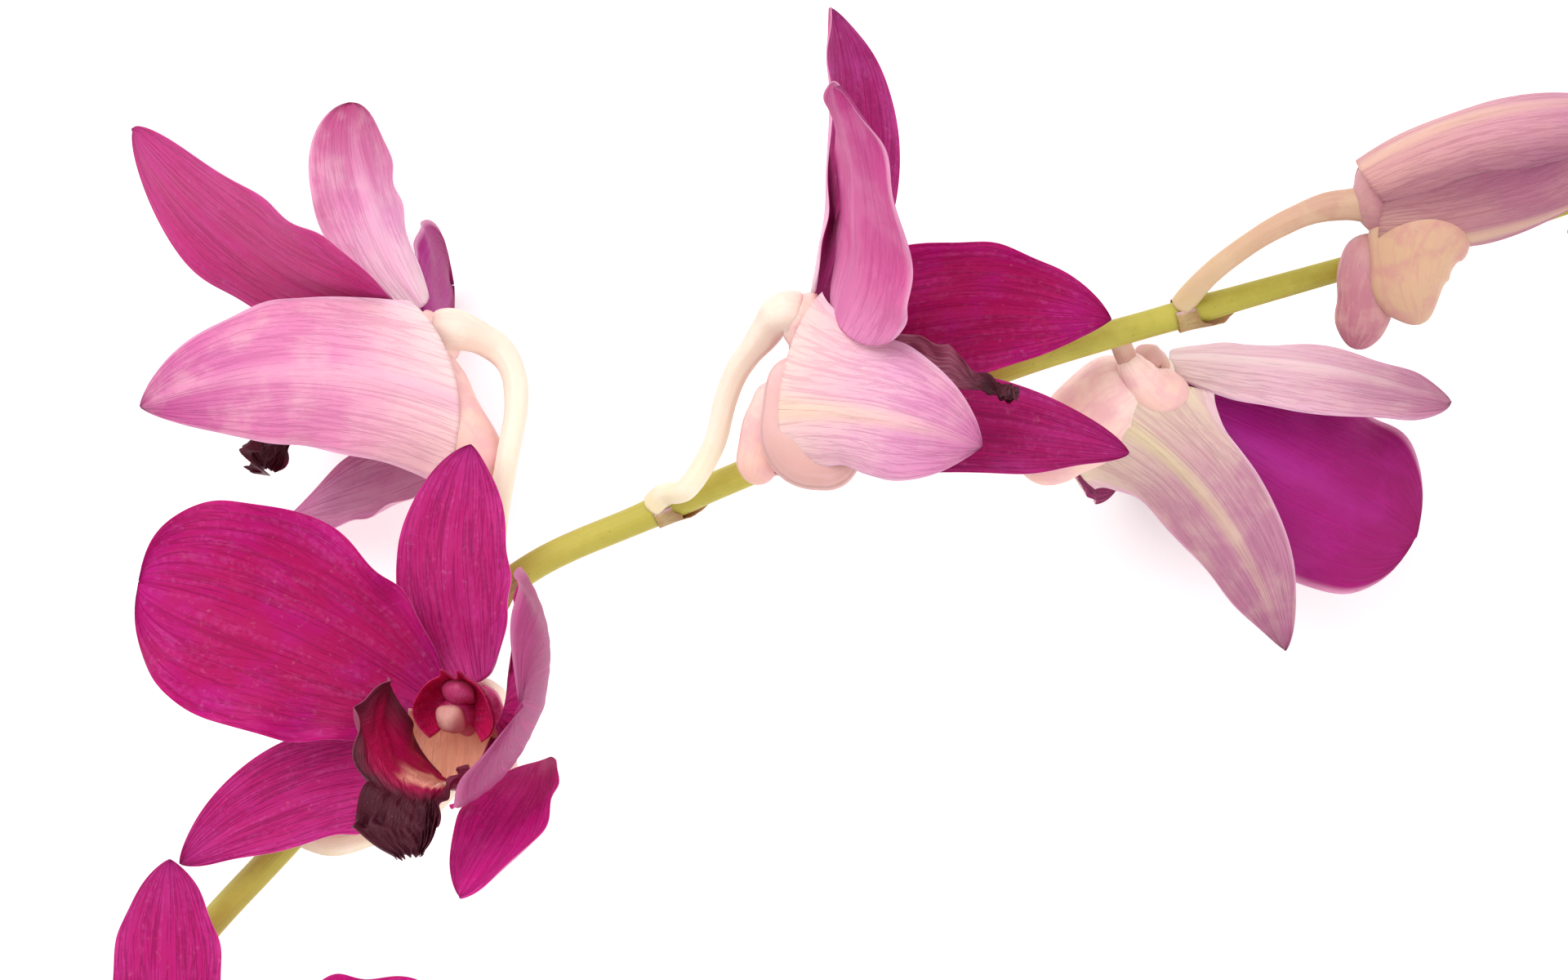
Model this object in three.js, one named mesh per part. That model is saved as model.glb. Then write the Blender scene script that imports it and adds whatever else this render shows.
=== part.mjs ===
// Cut orchid spray lying on a flat surface: one green stem with five open flowers,
// a half-open bud and four closed buds towards the tip.
//
// Units are millimetres, +Z is up. The spray is laid out around a point on the stem below the
// middle flower, then moved so that the origin is the bottom centre of its bounding box.

import * as THREE from 'three';

// ---------------------------------------------------------------- driving dimensions

const STEM_RADIUS = 1.75;
const STEM_TIP_RADIUS = 0.7;
const PEDICEL_RADIUS = 1.35;
const PEDICEL_NECK = 1.8;
const BRACT_LENGTH = 4.2;
const BRACT_RADIUS = 2.45;
const BRACT_WRAP = 2.3;

const SEPAL_THICKNESS = 0.9;
const PETAL_THICKNESS = 0.75;
const EDGE_THICKNESS = 0.3;
const LIP_THICKNESS = 0.7;

const COLUMN_LENGTH = 8.5;
const COLUMN_RADIUS = 2.3;

// Rows along and columns across each leaf-like piece.
const TEPAL_GRID = [9, 6];
const LIP_GRID = [10, 10];
const BRACT_GRID = [2, 8];

// ---------------------------------------------------------------- finishes

const finish = (color, roughness) => new THREE.MeshStandardMaterial({ color, roughness, metalness: 0 });

const FINISH = {
  stem: finish('#b8ac46', 0.5),
  pedicel: finish('#f3dfc8', 0.5),
  bract: finish('#b79a6c', 0.8),
  petal: finish('#ad0a62', 0.55),
  sepal: finish('#c84e96', 0.55),
  lip: finish('#5c1030', 0.45),
  column: finish('#d98aa0', 0.4),
  bud: finish('#c09080', 0.55),
};

// ---------------------------------------------------------------- small vector helpers

const vec = (list) => new THREE.Vector3(...list);
const along = (start, direction, distance) => start.clone().addScaledVector(direction, distance);

/** Axes of a flower seen from its front: side to the right, crown to the dorsal sepal, facing outwards. */
function flowerAxes(facingList, crownList) {
  const facing = vec(facingList).normalize();
  const crown = vec(crownList);
  crown.addScaledVector(facing, -crown.dot(facing)).normalize();
  const side = new THREE.Vector3().crossVectors(crown, facing);
  return { side, crown, facing };
}

/** A point given as [side, crown, facing] distances from the heart of a flower. */
function inFlower(heart, axes, [x, y, z]) {
  return along(along(along(heart, axes.side, x), axes.crown, y), axes.facing, z);
}

// ---------------------------------------------------------------- closed bodies

function bodyFrom(points, faces) {
  const geometry = new THREE.BufferGeometry();
  geometry.setAttribute('position', new THREE.Float32BufferAttribute(points.flatMap((p) => p.toArray()), 3));
  geometry.setIndex(faces);
  geometry.computeVertexNormals();
  return geometry;
}

/**
 * A leaf-like plate: surfaceAt(u, v) gives the middle surface and its inner normal, for u from
 * base to tip and v from edge to edge, and thicknessAt(u, v) its wall.
 */
function plate(surfaceAt, thicknessAt, [rows, columns]) {
  const inner = [];
  const outer = [];
  for (let i = 0; i <= rows; i += 1) {
    for (let j = 0; j <= columns; j += 1) {
      const u = i / rows;
      const v = (2 * j) / columns - 1;
      const { point, normal } = surfaceAt(u, v);
      const half = thicknessAt(u, v) / 2;
      inner.push(along(point, normal, half));
      outer.push(along(point, normal, -half));
    }
  }
  const back = inner.length;
  const index = (i, j) => i * (columns + 1) + j;
  const faces = [];
  const quad = (a, b, c, d) => faces.push(a, b, c, a, c, d);
  for (let i = 0; i < rows; i += 1) {
    for (let j = 0; j < columns; j += 1) {
      const [a, b, c, d] = [index(i, j), index(i, j + 1), index(i + 1, j + 1), index(i + 1, j)];
      quad(a, b, c, d);
      quad(back + d, back + c, back + b, back + a);
    }
    quad(index(i + 1, 0), back + index(i + 1, 0), back + index(i, 0), index(i, 0));
    quad(index(i, columns), back + index(i, columns), back + index(i + 1, columns), index(i + 1, columns));
  }
  for (let j = 0; j < columns; j += 1) {
    quad(index(0, j), back + index(0, j), back + index(0, j + 1), index(0, j + 1));
    quad(index(rows, j + 1), back + index(rows, j + 1), back + index(rows, j), index(rows, j));
  }
  return bodyFrom([...inner, ...outer], faces);
}

/** A solid rod of changing radius along a smooth curve through the points, closed at both ends. */
function rod(points, radiusAt, sides, segments) {
  const curve = new THREE.CatmullRomCurve3(points, false, 'centripetal');
  const { normals, binormals } = curve.computeFrenetFrames(segments, false);
  const vertices = [];
  for (let i = 0; i <= segments; i += 1) {
    const centre = curve.getPointAt(i / segments);
    const radius = radiusAt(i / segments);
    for (let k = 0; k < sides; k += 1) {
      const angle = (2 * Math.PI * k) / sides;
      const rim = along(centre, normals[i], radius * Math.cos(angle));
      vertices.push(along(rim, binormals[i], radius * Math.sin(angle)));
    }
  }
  const startPole = vertices.push(curve.getPointAt(0)) - 1;
  const endPole = vertices.push(curve.getPointAt(1)) - 1;
  const faces = [];
  for (let k = 0; k < sides; k += 1) {
    const next = (k + 1) % sides;
    for (let i = 0; i < segments; i += 1) {
      const [a, b] = [i * sides + k, i * sides + next];
      faces.push(a, b, b + sides, a, b + sides, a + sides);
    }
    faces.push(startPole, next, k);
    faces.push(endPole, segments * sides + k, segments * sides + next);
  }
  return bodyFrom(vertices, faces);
}

// ---------------------------------------------------------------- sepals, petals, lip and column

/**
 * Outlines as fractions: where along its length a piece is widest, how wide its foot is, how
 * pointed its end is, and the half angle that it curls through at its base and at its tip.
 */
const OUTLINES = {
  dorsal_sepal: { widest: 0.45, foot: 0.45, point: 0.75, curl: [0.6, 0.3], thickness: SEPAL_THICKNESS },
  petal: { widest: 0.6, foot: 0.2, point: 0.4, curl: [0.5, 0.15], thickness: PETAL_THICKNESS },
  lateral_sepal: { widest: 0.4, foot: 1.2, point: 0.75, curl: [0.75, 0.3], thickness: SEPAL_THICKNESS },
  bract: { widest: 1, foot: 1, point: 1, curl: [BRACT_WRAP, BRACT_WRAP], thickness: EDGE_THICKNESS },
  bud_sepal: { widest: 0.35, foot: 0.6, point: 0.6, curl: [0.98, 0.98], thickness: SEPAL_THICKNESS },
};

/** Half width of an outline at u, as a fraction of its widest half width. */
function outlineAt(outline, u) {
  if (u <= outline.widest) {
    const rise = 1 - (1 - (1 - u / outline.widest) ** 2) ** 0.8;
    return 1 - (1 - outline.foot) * rise;
  }
  const fall = (1 - ((u - outline.widest) / (1 - outline.widest)) ** 2) ** outline.point;
  return Math.max(fall, 0.04);
}

/**
 * One sepal, petal or bract. Its midline is a quadratic curve from base to tip that bows by `bow`
 * at its middle; each cross-section is an arc, hollow towards `inner`. `rake` is how far one edge
 * of the foot reaches back and the other reaches forward; `skew` makes one side of the foot wider.
 */
function tepal(kind, base, spec) {
  const outline = { ...OUTLINES[kind], ...spec.outline };
  const tip = vec(spec.tip);
  const middle = base.clone().add(tip).multiplyScalar(0.5).addScaledVector(vec(spec.bow ?? [0, 0, 0]), 2);
  const midline = new THREE.QuadraticBezierCurve3(base, middle, tip);
  const inner = vec(spec.inner);
  const surfaceAt = (u, v) => {
    const tangent = midline.getTangent(u);
    const up = along(inner, tangent, -inner.dot(tangent)).normalize();
    const across = new THREE.Vector3().crossVectors(tangent, up);
    const lean = 1 + (spec.skew ?? 0) * v * (1 - u) ** 1.5;
    const half = (spec.width / 2) * outlineAt(outline, u) * lean;
    const curl = THREE.MathUtils.lerp(...outline.curl, u);
    const centre = along(midline.getPoint(u), tangent, -(spec.rake ?? 0) * v * (1 - u) ** 2);
    const sideways = along(centre, across, (half * Math.sin(curl * v)) / curl);
    const point = along(sideways, up, (half * (1 - Math.cos(curl * v))) / curl);
    const normal = up.multiplyScalar(Math.cos(curl * v)).addScaledVector(across, -Math.sin(curl * v));
    return { point, normal };
  };
  const body = outline.thickness - EDGE_THICKNESS;
  const thicknessAt = (u, v) => EDGE_THICKNESS + body * (1 - v * v) * (1 - 0.6 * u);
  return plate(surfaceAt, thicknessAt, kind === 'bract' ? BRACT_GRID : TEPAL_GRID);
}

// The lip's midline from the foot of the column towards its middle lobe, in flower axes, and how
// far each of its points hangs down.
const LIP_MIDLINE = [[0, -8.5, 0.8], [0, -8, 7], [0, -8, 13], [0, -8, 18], [0, -8, 21]];
const LIP_DROOP = [0, 0, 0, 2.5, 7];
// Along the lip: half width of the blade, and the half angle it curls through around the column.
const LIP_SECTIONS = [[2.6, 0.9], [9, 1.7], [15.5, 2.0], [13, 1.5], [6.5, 0.7], [6.8, -0.2], [3, -0.5]];

/** A value read from equally spaced entries of a list at u from 0 to 1, blended smoothly. */
function blendAt(list, u) {
  const place = Math.min(u * (list.length - 1), list.length - 1.0001);
  const i = Math.floor(place);
  return THREE.MathUtils.lerp(list[i], list[i + 1], THREE.MathUtils.smoothstep(place - i, 0, 1));
}

/**
 * The lip: a blade whose side lobes stand up around the column and whose end lobe turns down.
 * `swing` carries its end sideways and `droop` scales how far it hangs.
 */
function lip(heart, axes, spec) {
  const size = spec.size ?? 1;
  const hung = LIP_MIDLINE.map(([x, y, z], i) => {
    const share = i / (LIP_MIDLINE.length - 1);
    return [x + share * (spec.swing ?? 0), y - LIP_DROOP[i] * (spec.droop ?? 1), z];
  });
  const scaled = hung.map((p) => p.map((x) => x * size));
  const midline = new THREE.CatmullRomCurve3(scaled.map((p) => inFlower(heart, axes, p)));
  const surfaceAt = (u, v) => {
    const tangent = midline.getTangent(u);
    const up = along(axes.crown, tangent, -axes.crown.dot(tangent)).normalize();
    const across = new THREE.Vector3().crossVectors(tangent, up);
    const side = v > 0 ? spec.left : spec.right;
    const half = blendAt(LIP_SECTIONS.map((s) => s[0]), u) * side * size;
    const curl = blendAt(LIP_SECTIONS.map((s) => s[1]), u) || 0.01;
    const sideways = along(midline.getPoint(u), across, (half * Math.sin(curl * v)) / curl);
    const point = along(sideways, up, (half * (1 - Math.cos(curl * v))) / curl);
    const normal = up.multiplyScalar(Math.cos(curl * v)).addScaledVector(across, -Math.sin(curl * v));
    return { point, normal };
  };
  return plate(surfaceAt, () => LIP_THICKNESS, LIP_GRID);
}

/** The column with its anther cap: a short stout rod from the foot in the chin, past the heart, forwards. */
function column(heart, axes) {
  const foot = [[0, -12, -3.2], [0, -6, -2.6], [0, -1, -1]];
  const path = [...foot, [0, 0.6, COLUMN_LENGTH / 2], [0, 0, COLUMN_LENGTH]];
  const radiusAt = (t) => COLUMN_RADIUS * (t > 0.99 ? 0.55 : 0.6 + 0.45 * t);
  return rod(path.map((p) => inFlower(heart, axes, p)), radiusAt, 8, 10);
}

/** A flower stalk, thicker where it meets the flower. */
function pedicel(points) {
  const radiusAt = (t) => THREE.MathUtils.lerp(PEDICEL_RADIUS, PEDICEL_NECK, t ** 3);
  return rod(points, radiusAt, 7, Math.max(6, 2 * points.length));
}

/** A closed bud: an oval body with a blunt base and a pointed tip. */
function bud(base, tip, radius) {
  const radiusAt = (t) => radius * Math.max(0.25, Math.sin(Math.PI * Math.min(1, 0.12 + 0.88 * t) ** 0.8));
  return rod([base, base.clone().lerp(tip, 0.5), tip], radiusAt, 10, 8);
}

// ---------------------------------------------------------------- layout of the spray

const STEM_POINTS = [
  [-152, -150, -29.9], [-125, -120, -21.5], [-98, -88, -10], [-71.5, -54.5, -3], [-60.5, -42.5, -1],
  [-46, -24, 0], [-32, -10.2, 0], [-17, -3.2, 0], [-6, 1.5, 0], [12, 9, 0], [30, 16, 0], [48, 21.3, 0], [68, 27, 0],
  [96, 35, -1], [113, 42, -4], [127, 50, -9], [138, 60, -14],
];

// Where each piece of a flower starts, and where its stalk ends, in flower axes.
const PEDICEL_END = [0, 2, -4];
const FEET = {
  dorsal_sepal: [0, 4.2, 0],
  left_petal: [-3.6, 0.8, 1.4],
  right_petal: [3.6, 0.8, 1.4],
  left_lateral_sepal: [-3.7, -8, -1.5],
  right_lateral_sepal: [3.7, -8, -1.5],
};

const FLOWERS = {
  flower_a: {
    heart: [-74.5, -76, 6], facing: [0.1, -0.1, 0.98], crown: [0, 1, 0],
    dorsal_sepal: { tip: [-74, -44.5, 8], inner: [0, 0, 1], width: 14 },
    left_petal: { tip: [-113, -71, 8], inner: [0, -0.1, 1], width: 27 },
    right_petal: { tip: [-37, -69, 8], inner: [0, -0.1, 1], width: 27 },
    left_lateral_sepal: {
      tip: [-96, -107, 0], inner: [0.3, 0.3, 1], width: 14, outline: { foot: 0.75 },
    },
    right_lateral_sepal: {
      tip: [-57, -109, 0], inner: [-0.3, 0.3, 1], width: 14, outline: { foot: 0.75 },
    },
    lip: { left: 1, right: 1 },
    pedicel: [[-88, -81.5, -9], [-85, -82.5, -7.5], [-80, -80, -4.5], [-76.5, -77, -1]],
  },
  flower_b: {
    heart: [-37.5, -27.5, 9], facing: [-0.3, 0.02, 0.95], crown: [0.06, 1, 0],
    dorsal_sepal: { tip: [-38, 5.5, 4], inner: [-0.15, 0.1, 1], width: 14.5, bow: [-2, 0, 1] },
    left_petal: { tip: [-77.5, -11, 10], inner: [-0.1, 0, 1], width: 27.5, bow: [0, 2, 1] },
    right_petal: {
      from: [-33.4, -26.5, 10.5], tip: [-29.8, -24, 38], inner: [-0.96, 0.28, 0.1], width: 33, bow: [3, 0, 0],
      outline: { curl: [0.8, 0.9], foot: 0.3 },
    },
    left_lateral_sepal: { tip: [-73.5, -45.5, 3], inner: [-0.1, 0.2, 1], width: 14, bow: [0, 4, 0] },
    right_lateral_sepal: {
      from: [-29.3, -33, 7.6], tip: [-38, -47.5, 24], inner: [-0.5, 0, 1], width: 12, bow: [1, 1, 0],
      outline: { foot: 0.8 },
    },
    lip: { left: 1.15, right: 0.25, swing: 2.4 },
    pedicel: [[-55.5, -43.5, -1], [-51, -42.5, -3], [-45, -40, -3], [-39.5, -34, -1], [-37.5, -29, 2]],
  },
  flower_c: {
    heart: [-44.5, 18, -8], facing: [-0.93, 0.05, -0.3], crown: [0.1, 0.97, 0.2],
    dorsal_sepal: {
      from: [-45.3, 22.6, -9.3], tip: [-53.5, 48, -6], inner: [-0.7, 0, -0.7], width: 14, bow: [-2.5, 0, 0],
      outline: { widest: 0.6, point: 0.5 },
    },
    left_petal: { tip: [-43, 26.5, -31], inner: [-0.94, 0, -0.2], width: 22 },
    right_petal: {
      from: [-47.5, 22, -5], tip: [-80, 44.5, -2], inner: [-0.48, -0.72, 0.5], width: 26, bow: [-0.5, -5, 0],
      skew: 0.6, outline: { foot: 0.12, widest: 0.5, point: 0.65, curl: [0.3, 0.1] },
    },
    left_lateral_sepal: { from: [-38, 4.5, -13], tip: [-64, -3.5, -28], inner: [-0.2, 0.7, 0.7], width: 15 },
    right_lateral_sepal: {
      from: [-40, 10.5, -1.5], tip: [-78, 10, 5], inner: [0.05, -0.1, -1], width: 19.5, bow: [0, 4, 2.5],
      rake: 5, outline: { foot: 1.05, widest: 0.35, curl: [0.5, 0.3] },
    },
    lip: { left: 1, right: 1, size: 1.1 },
    pedicel: [
      [-37, -13, -3.5], [-36, -9, -2.5], [-35, -2, -2], [-34, 4, -2], [-33, 10, -4], [-33.5, 14.5, -6],
      [-35.5, 17.5, -7.5],
    ],
  },
  flower_d: {
    heart: [4, 19.5, 14], facing: [0.95, 0.1, -0.1], crown: [-0.2, 0.95, 0],
    dorsal_sepal: {
      from: [4, 24.6, 13.3], tip: [5.5, 57.5, 14], inner: [0.75, 0.1, 0.6], width: 15, bow: [2.8, 0, 0],
      outline: { foot: 0.4, curl: [1, 0.6] },
    },
    left_petal: {
      from: [6.5, 19.6, 19.8], tip: [6, 46, 36], inner: [0.93, 0.22, -0.27], width: 23, bow: [2.5, -1, 0],
      outline: { widest: 0.35, foot: 0.5 },
    },
    right_petal: {
      from: [6, 19, 8.3], tip: [39.5, 20.5, 7.5], inner: [-0.2, -0.45, 0.85], width: 19.5, bow: [0, 2.5, 0],
      outline: { widest: 0.3, point: 0.8 },
    },
    left_lateral_sepal: {
      from: [-0.5, 9.5, 19], tip: [23, 5, 26], inner: [0.1, 0.1, -1], width: 17, bow: [0, 1.2, 2],
      rake: -1.5, outline: { foot: 1.35 },
    },
    right_lateral_sepal: {
      from: [-4, 6, 8], tip: [42, 4.5, 3], inner: [0, 0.3, 0.9], width: 14, bow: [0, 2.5, 0],
      outline: { foot: 0.95 },
    },
    lip: { left: 0.55, right: 0.45, size: 1.1, droop: 0.2 },
    pedicel: [[-14.5, -0.5, 2.5], [-12, 0, 5], [-8.7, 5, 6], [-7, 11, 7.5], [-5.5, 14.5, 9], [-3, 17.8, 11.5]],
  },
  flower_e: {
    heart: [45, 13.5, -11], facing: [0.35, -0.35, -0.87], crown: [0.75, 0.65, 0],
    dorsal_sepal: { tip: [83.5, 11, -12], inner: [0.1, -0.75, -0.65], width: 13, bow: [0, 1.3, 0] },
    left_petal: { tip: [80, -6, -18], inner: [0, -0.3, -0.95], width: 26 },
    right_petal: { tip: [43, 12.5, -31], inner: [0.57, -0.65, 0.1], width: 9.5 },
    left_lateral_sepal: {
      from: [38.5, 7.3, -5], tip: [62.5, -20, -10], inner: [0.3, 0.1, -0.95], width: 14, bow: [2.5, 3.5, 0],
      skew: -0.3, outline: { foot: 1.4 },
    },
    right_lateral_sepal: {
      from: [36.5, 7, -17], tip: [43.5, 1, -30.5], inner: [0.7, -0.2, 0.3], width: 12, outline: { foot: 1 },
    },
    lip: { left: 0.65, right: 0.5, size: 0.7 },
    pedicel: [[42, 15.6, -3], [42.1, 15.5, -5]],
  },
};

// The half-open bud: three alike sepals still closed around a core of petals. The radii are from
// the bud's axis to the middle of each sepal's foot and tip, and `turn` is the angle from the crown
// to the dorsal sepal.
const OPENING_BUD = {
  base: [70, 34.4, 8.5],
  tip: [107, 44.3, 7.5],
  crown: [0, 1, 0],
  footRadius: 5,
  tipRadius: 1.15,
  bow: 4.6,
  width: 15.2,
  turn: -0.61,
  sepals: ['dorsal_sepal', 'left_lateral_sepal', 'right_lateral_sepal'],
  core: { base: [74, 35.5, 8.5], tip: [101, 42.8, 8], radius: 4 },
  pedicel: [[49.5, 23.8, 2], [51.5, 26, 4], [54.5, 28.5, 5.5], [59, 31.5, 7], [65, 34, 8], [70.5, 34.6, 8.4]],
};

// The closed buds towards the tip: base, tip, greatest radius and the points of the stalk.
const BUDS = {
  bud_g: { base: [100, 29.5, -1], tip: [124, 27, -6], radius: 5.2, stalk: [[96.5, 32.5, -1], [98, 31, -1]] },
  bud_h: { base: [116, 49, -3], tip: [128, 64, -6], radius: 4, stalk: [[112.5, 44.5, -3.5], [114, 47, -3]] },
  bud_i: { base: [132, 45.5, -12], tip: [144, 37, -17], radius: 3, stalk: [[129, 49, -10.5], [130.8, 47, -11.3]] },
  bud_j: { base: [140, 62, -14.6], tip: [147, 69, -17], radius: 2.2, stalk: [[138.8, 60.8, -14.3], [139.3, 61.3, -14.4]] },
};

// ---------------------------------------------------------------- assembly

const pieces = new THREE.Group();

function add(name, geometry, material) {
  const mesh = new THREE.Mesh(geometry, material);
  mesh.name = name;
  pieces.add(mesh);
}

function addFlower(name, flower) {
  const heart = vec(flower.heart);
  const axes = flowerAxes(flower.facing, flower.crown);
  for (const [part, foot] of Object.entries(FEET)) {
    const kind = part.replace(/^(left|right)_/, '');
    const material = kind === 'petal' ? FINISH.petal : FINISH.sepal;
    const spec = flower[part];
    const base = spec.from ? vec(spec.from) : inFlower(heart, axes, foot);
    add(`${name}_${part}`, tepal(kind, base, spec), material);
  }
  add(`${name}_lip`, lip(heart, axes, flower.lip), FINISH.lip);
  add(`${name}_column`, column(heart, axes), FINISH.column);
  const stalk = [...flower.pedicel.map(vec), inFlower(heart, axes, PEDICEL_END)];
  add(`${name}_pedicel`, pedicel(stalk), FINISH.pedicel);
}

function addBud(name, spec) {
  add(name, bud(vec(spec.base), vec(spec.tip), spec.radius), FINISH.bud);
  add(`${name}_pedicel`, pedicel(spec.stalk.map(vec)), FINISH.pedicel);
}

function addOpeningBud() {
  const spec = OPENING_BUD;
  const base = vec(spec.base);
  const tip = vec(spec.tip);
  const { side, crown } = flowerAxes(tip.clone().sub(base).toArray(), spec.crown);
  spec.sepals.forEach((part, i) => {
    const angle = spec.turn + (2 * Math.PI * i) / spec.sepals.length;
    const outwards = crown.clone().multiplyScalar(Math.cos(angle)).addScaledVector(side, Math.sin(angle));
    const shape = {
      tip: along(tip, outwards, spec.tipRadius).toArray(),
      inner: outwards.clone().negate().toArray(),
      bow: outwards.clone().multiplyScalar(spec.bow).toArray(),
      width: spec.width,
    };
    add(`bud_f_${part}`, tepal('bud_sepal', along(base, outwards, spec.footRadius), shape), FINISH.bud);
  });
  add('bud_f_core', bud(vec(spec.core.base), vec(spec.core.tip), spec.core.radius), FINISH.petal);
  add('bud_f_pedicel', pedicel(spec.pedicel.map(vec)), FINISH.pedicel);
}

/** The papery sheath around the stem where a stalk leaves it, open on the side of the stalk. */
function addBract(name, stalkStart) {
  const samples = Array.from({ length: 601 }, (_, i) => i / 600);
  const nearest = samples.reduce((best, t) => {
    const gap = stemCurve.getPointAt(t).distanceTo(stalkStart);
    return gap < best.gap ? { t, gap } : best;
  }, { t: 0, gap: Infinity });
  const tangent = stemCurve.getTangentAt(nearest.t);
  const centre = along(stemCurve.getPointAt(nearest.t), tangent, -BRACT_LENGTH / 2);
  const away = centre.clone().sub(stalkStart);
  away.addScaledVector(tangent, -away.dot(tangent)).normalize();
  const base = along(centre, away, BRACT_RADIUS);
  const spec = {
    tip: along(base, tangent, BRACT_LENGTH).toArray(),
    inner: away.negate().toArray(),
    width: 2 * BRACT_RADIUS * BRACT_WRAP,
  };
  add(name, tepal('bract', base, spec), FINISH.bract);
}

const stemCurve = new THREE.CatmullRomCurve3(STEM_POINTS.map(vec), false, 'centripetal');
const stemRadiusAt = (t) => THREE.MathUtils.lerp(STEM_RADIUS, STEM_TIP_RADIUS, Math.max(0, (t - 0.7) / 0.3));
add('stem', rod(STEM_POINTS.map(vec), stemRadiusAt, 10, 44), FINISH.stem);
Object.entries(FLOWERS).forEach(([name, flower]) => addFlower(name, flower));
addOpeningBud();
Object.entries(BUDS).forEach(([name, spec]) => addBud(name, spec));
const { flower_a: a, flower_b: b, flower_c: c, flower_d: d } = FLOWERS;
Object.entries({ a, b, c, d, f: OPENING_BUD }).forEach(([letter, { pedicel: stalk }]) => {
  addBract(`bract_${letter}`, vec(stalk[0]));
});

// The origin is the bottom centre of the bounding box, where the spray rests.
const box = new THREE.Box3().setFromObject(pieces);
const middle = box.getCenter(new THREE.Vector3());
pieces.position.set(-middle.x, -middle.y, -box.min.z);

export default pieces;
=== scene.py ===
"""Cut dendrobium orchid spray lying on a pale table.

The spray is an assembly of separate living pieces: an arched stem with papery sheaths, flower
stalks, and on each flower three sepals, two petals, a lip, a column with its anther cap and a
chin. Sizes are millimetres in the layout of the spray, and Placement carries them to the frame.
"""

import sys

import logging
import math
from dataclasses import dataclass, field, replace
from enum import Enum
from typing import Optional

import bpy
import numpy as np
from numpy.typing import NDArray
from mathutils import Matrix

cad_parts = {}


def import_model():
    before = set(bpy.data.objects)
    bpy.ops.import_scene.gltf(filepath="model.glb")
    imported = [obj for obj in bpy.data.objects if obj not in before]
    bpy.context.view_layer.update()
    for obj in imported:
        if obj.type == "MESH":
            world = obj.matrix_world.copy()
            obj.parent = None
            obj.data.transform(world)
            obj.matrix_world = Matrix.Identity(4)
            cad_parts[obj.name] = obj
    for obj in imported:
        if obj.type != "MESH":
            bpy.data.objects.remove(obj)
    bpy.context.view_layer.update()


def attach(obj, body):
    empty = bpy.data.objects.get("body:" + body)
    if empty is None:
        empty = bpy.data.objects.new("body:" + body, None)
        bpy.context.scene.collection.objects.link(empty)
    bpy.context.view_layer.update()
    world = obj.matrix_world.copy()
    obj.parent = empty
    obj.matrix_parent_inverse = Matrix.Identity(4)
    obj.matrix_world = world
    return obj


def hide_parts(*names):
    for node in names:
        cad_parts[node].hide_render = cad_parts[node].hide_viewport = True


Array = NDArray[np.float64]
Point = tuple[float, float, float]

LOG = logging.getLogger("orchid")
MILLIMETRE = 0.001
WHITE = (1.0, 1.0, 1.0, 1.0)
RIM_WALL = 0.3  # mm, the wall of a blade at its edge and tip
TISSUE_IOR = 1.42  # refraction of moist plant tissue
SCATTER = (1.0, 0.35, 0.5)  # how far red, green and blue light travel in the tissue, as shares
SCATTER_MM = 0.8  # how far the red light travels


# ------------------------------------------------------------------ placement and small maths


@dataclass(frozen=True)
class Placement:
    """Where the layout of the spray lies in the frame.

    Attributes:
        shift: The layout's zero, a point on the stem, from the resting origin, in mm.
    """

    shift: Point = (2.956, 40.899, 31.676)

    def to_frame(self, points: Array) -> Array:
        """Layout points in mm become frame points in metres."""
        return (points + np.array(self.shift)) * MILLIMETRE


PLACEMENT = Placement()


def unit(vectors: Array) -> Array:
    """Each vector divided by its own length."""
    return vectors / np.linalg.norm(vectors, axis=-1, keepdims=True)


def square_to(vectors: Array, axis: Array) -> Array:
    """The part of each vector that is at right angles to the unit axis, made a unit vector."""
    return unit(vectors - np.sum(vectors * axis, axis=-1, keepdims=True) * axis)


def ease(x: Array) -> Array:
    """Three x squared minus two x cubed, with x held between 0 and 1."""
    held = np.clip(x, 0.0, 1.0)
    return held * held * (3.0 - 2.0 * held)


def hump(x: Array, centre: float, width: float) -> Array:
    """A bell of height one: e to the minus square of the distance from centre over width."""
    return np.exp(-(((x - centre) / width) ** 2))


def blend_at(values: tuple[float, ...], u: Array) -> Array:
    """Equally spaced values read at u from 0 to 1, eased from each to the next.

    Args:
        values: The entries, spread evenly from u = 0 to u = 1.
        u: Where to read them.

    Returns:
        The eased value at each u.
    """
    table = np.array(values)
    place = np.minimum(u * (len(table) - 1), len(table) - 1.0001)
    start = np.floor(place).astype(int)
    part = ease(place - start)
    return table[start] * (1.0 - part) + table[start + 1] * part


def ripple(u: Array, v: Array, seed: int, waves: int = 5, fastest: float = 3.0) -> Array:
    """Smooth random swelling: the mean of sine waves with random directions and phases.

    Args:
        u: First parameter.
        v: Second parameter.
        seed: Makes one piece differ from the next.
        waves: How many sine waves are added.
        fastest: The most cycles that one wave makes over the piece.

    Returns:
        Values of about -1 to 1 on the grid of u and v.
    """
    random = np.random.default_rng(seed)
    total = np.zeros(np.broadcast(u, v).shape)
    for _ in range(waves):
        along, across = random.uniform(-fastest, fastest, 2)
        total = total + np.sin(2.0 * math.pi * (along * u + 0.5 * across * v + random.uniform()))
    return total / math.sqrt(waves)


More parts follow.
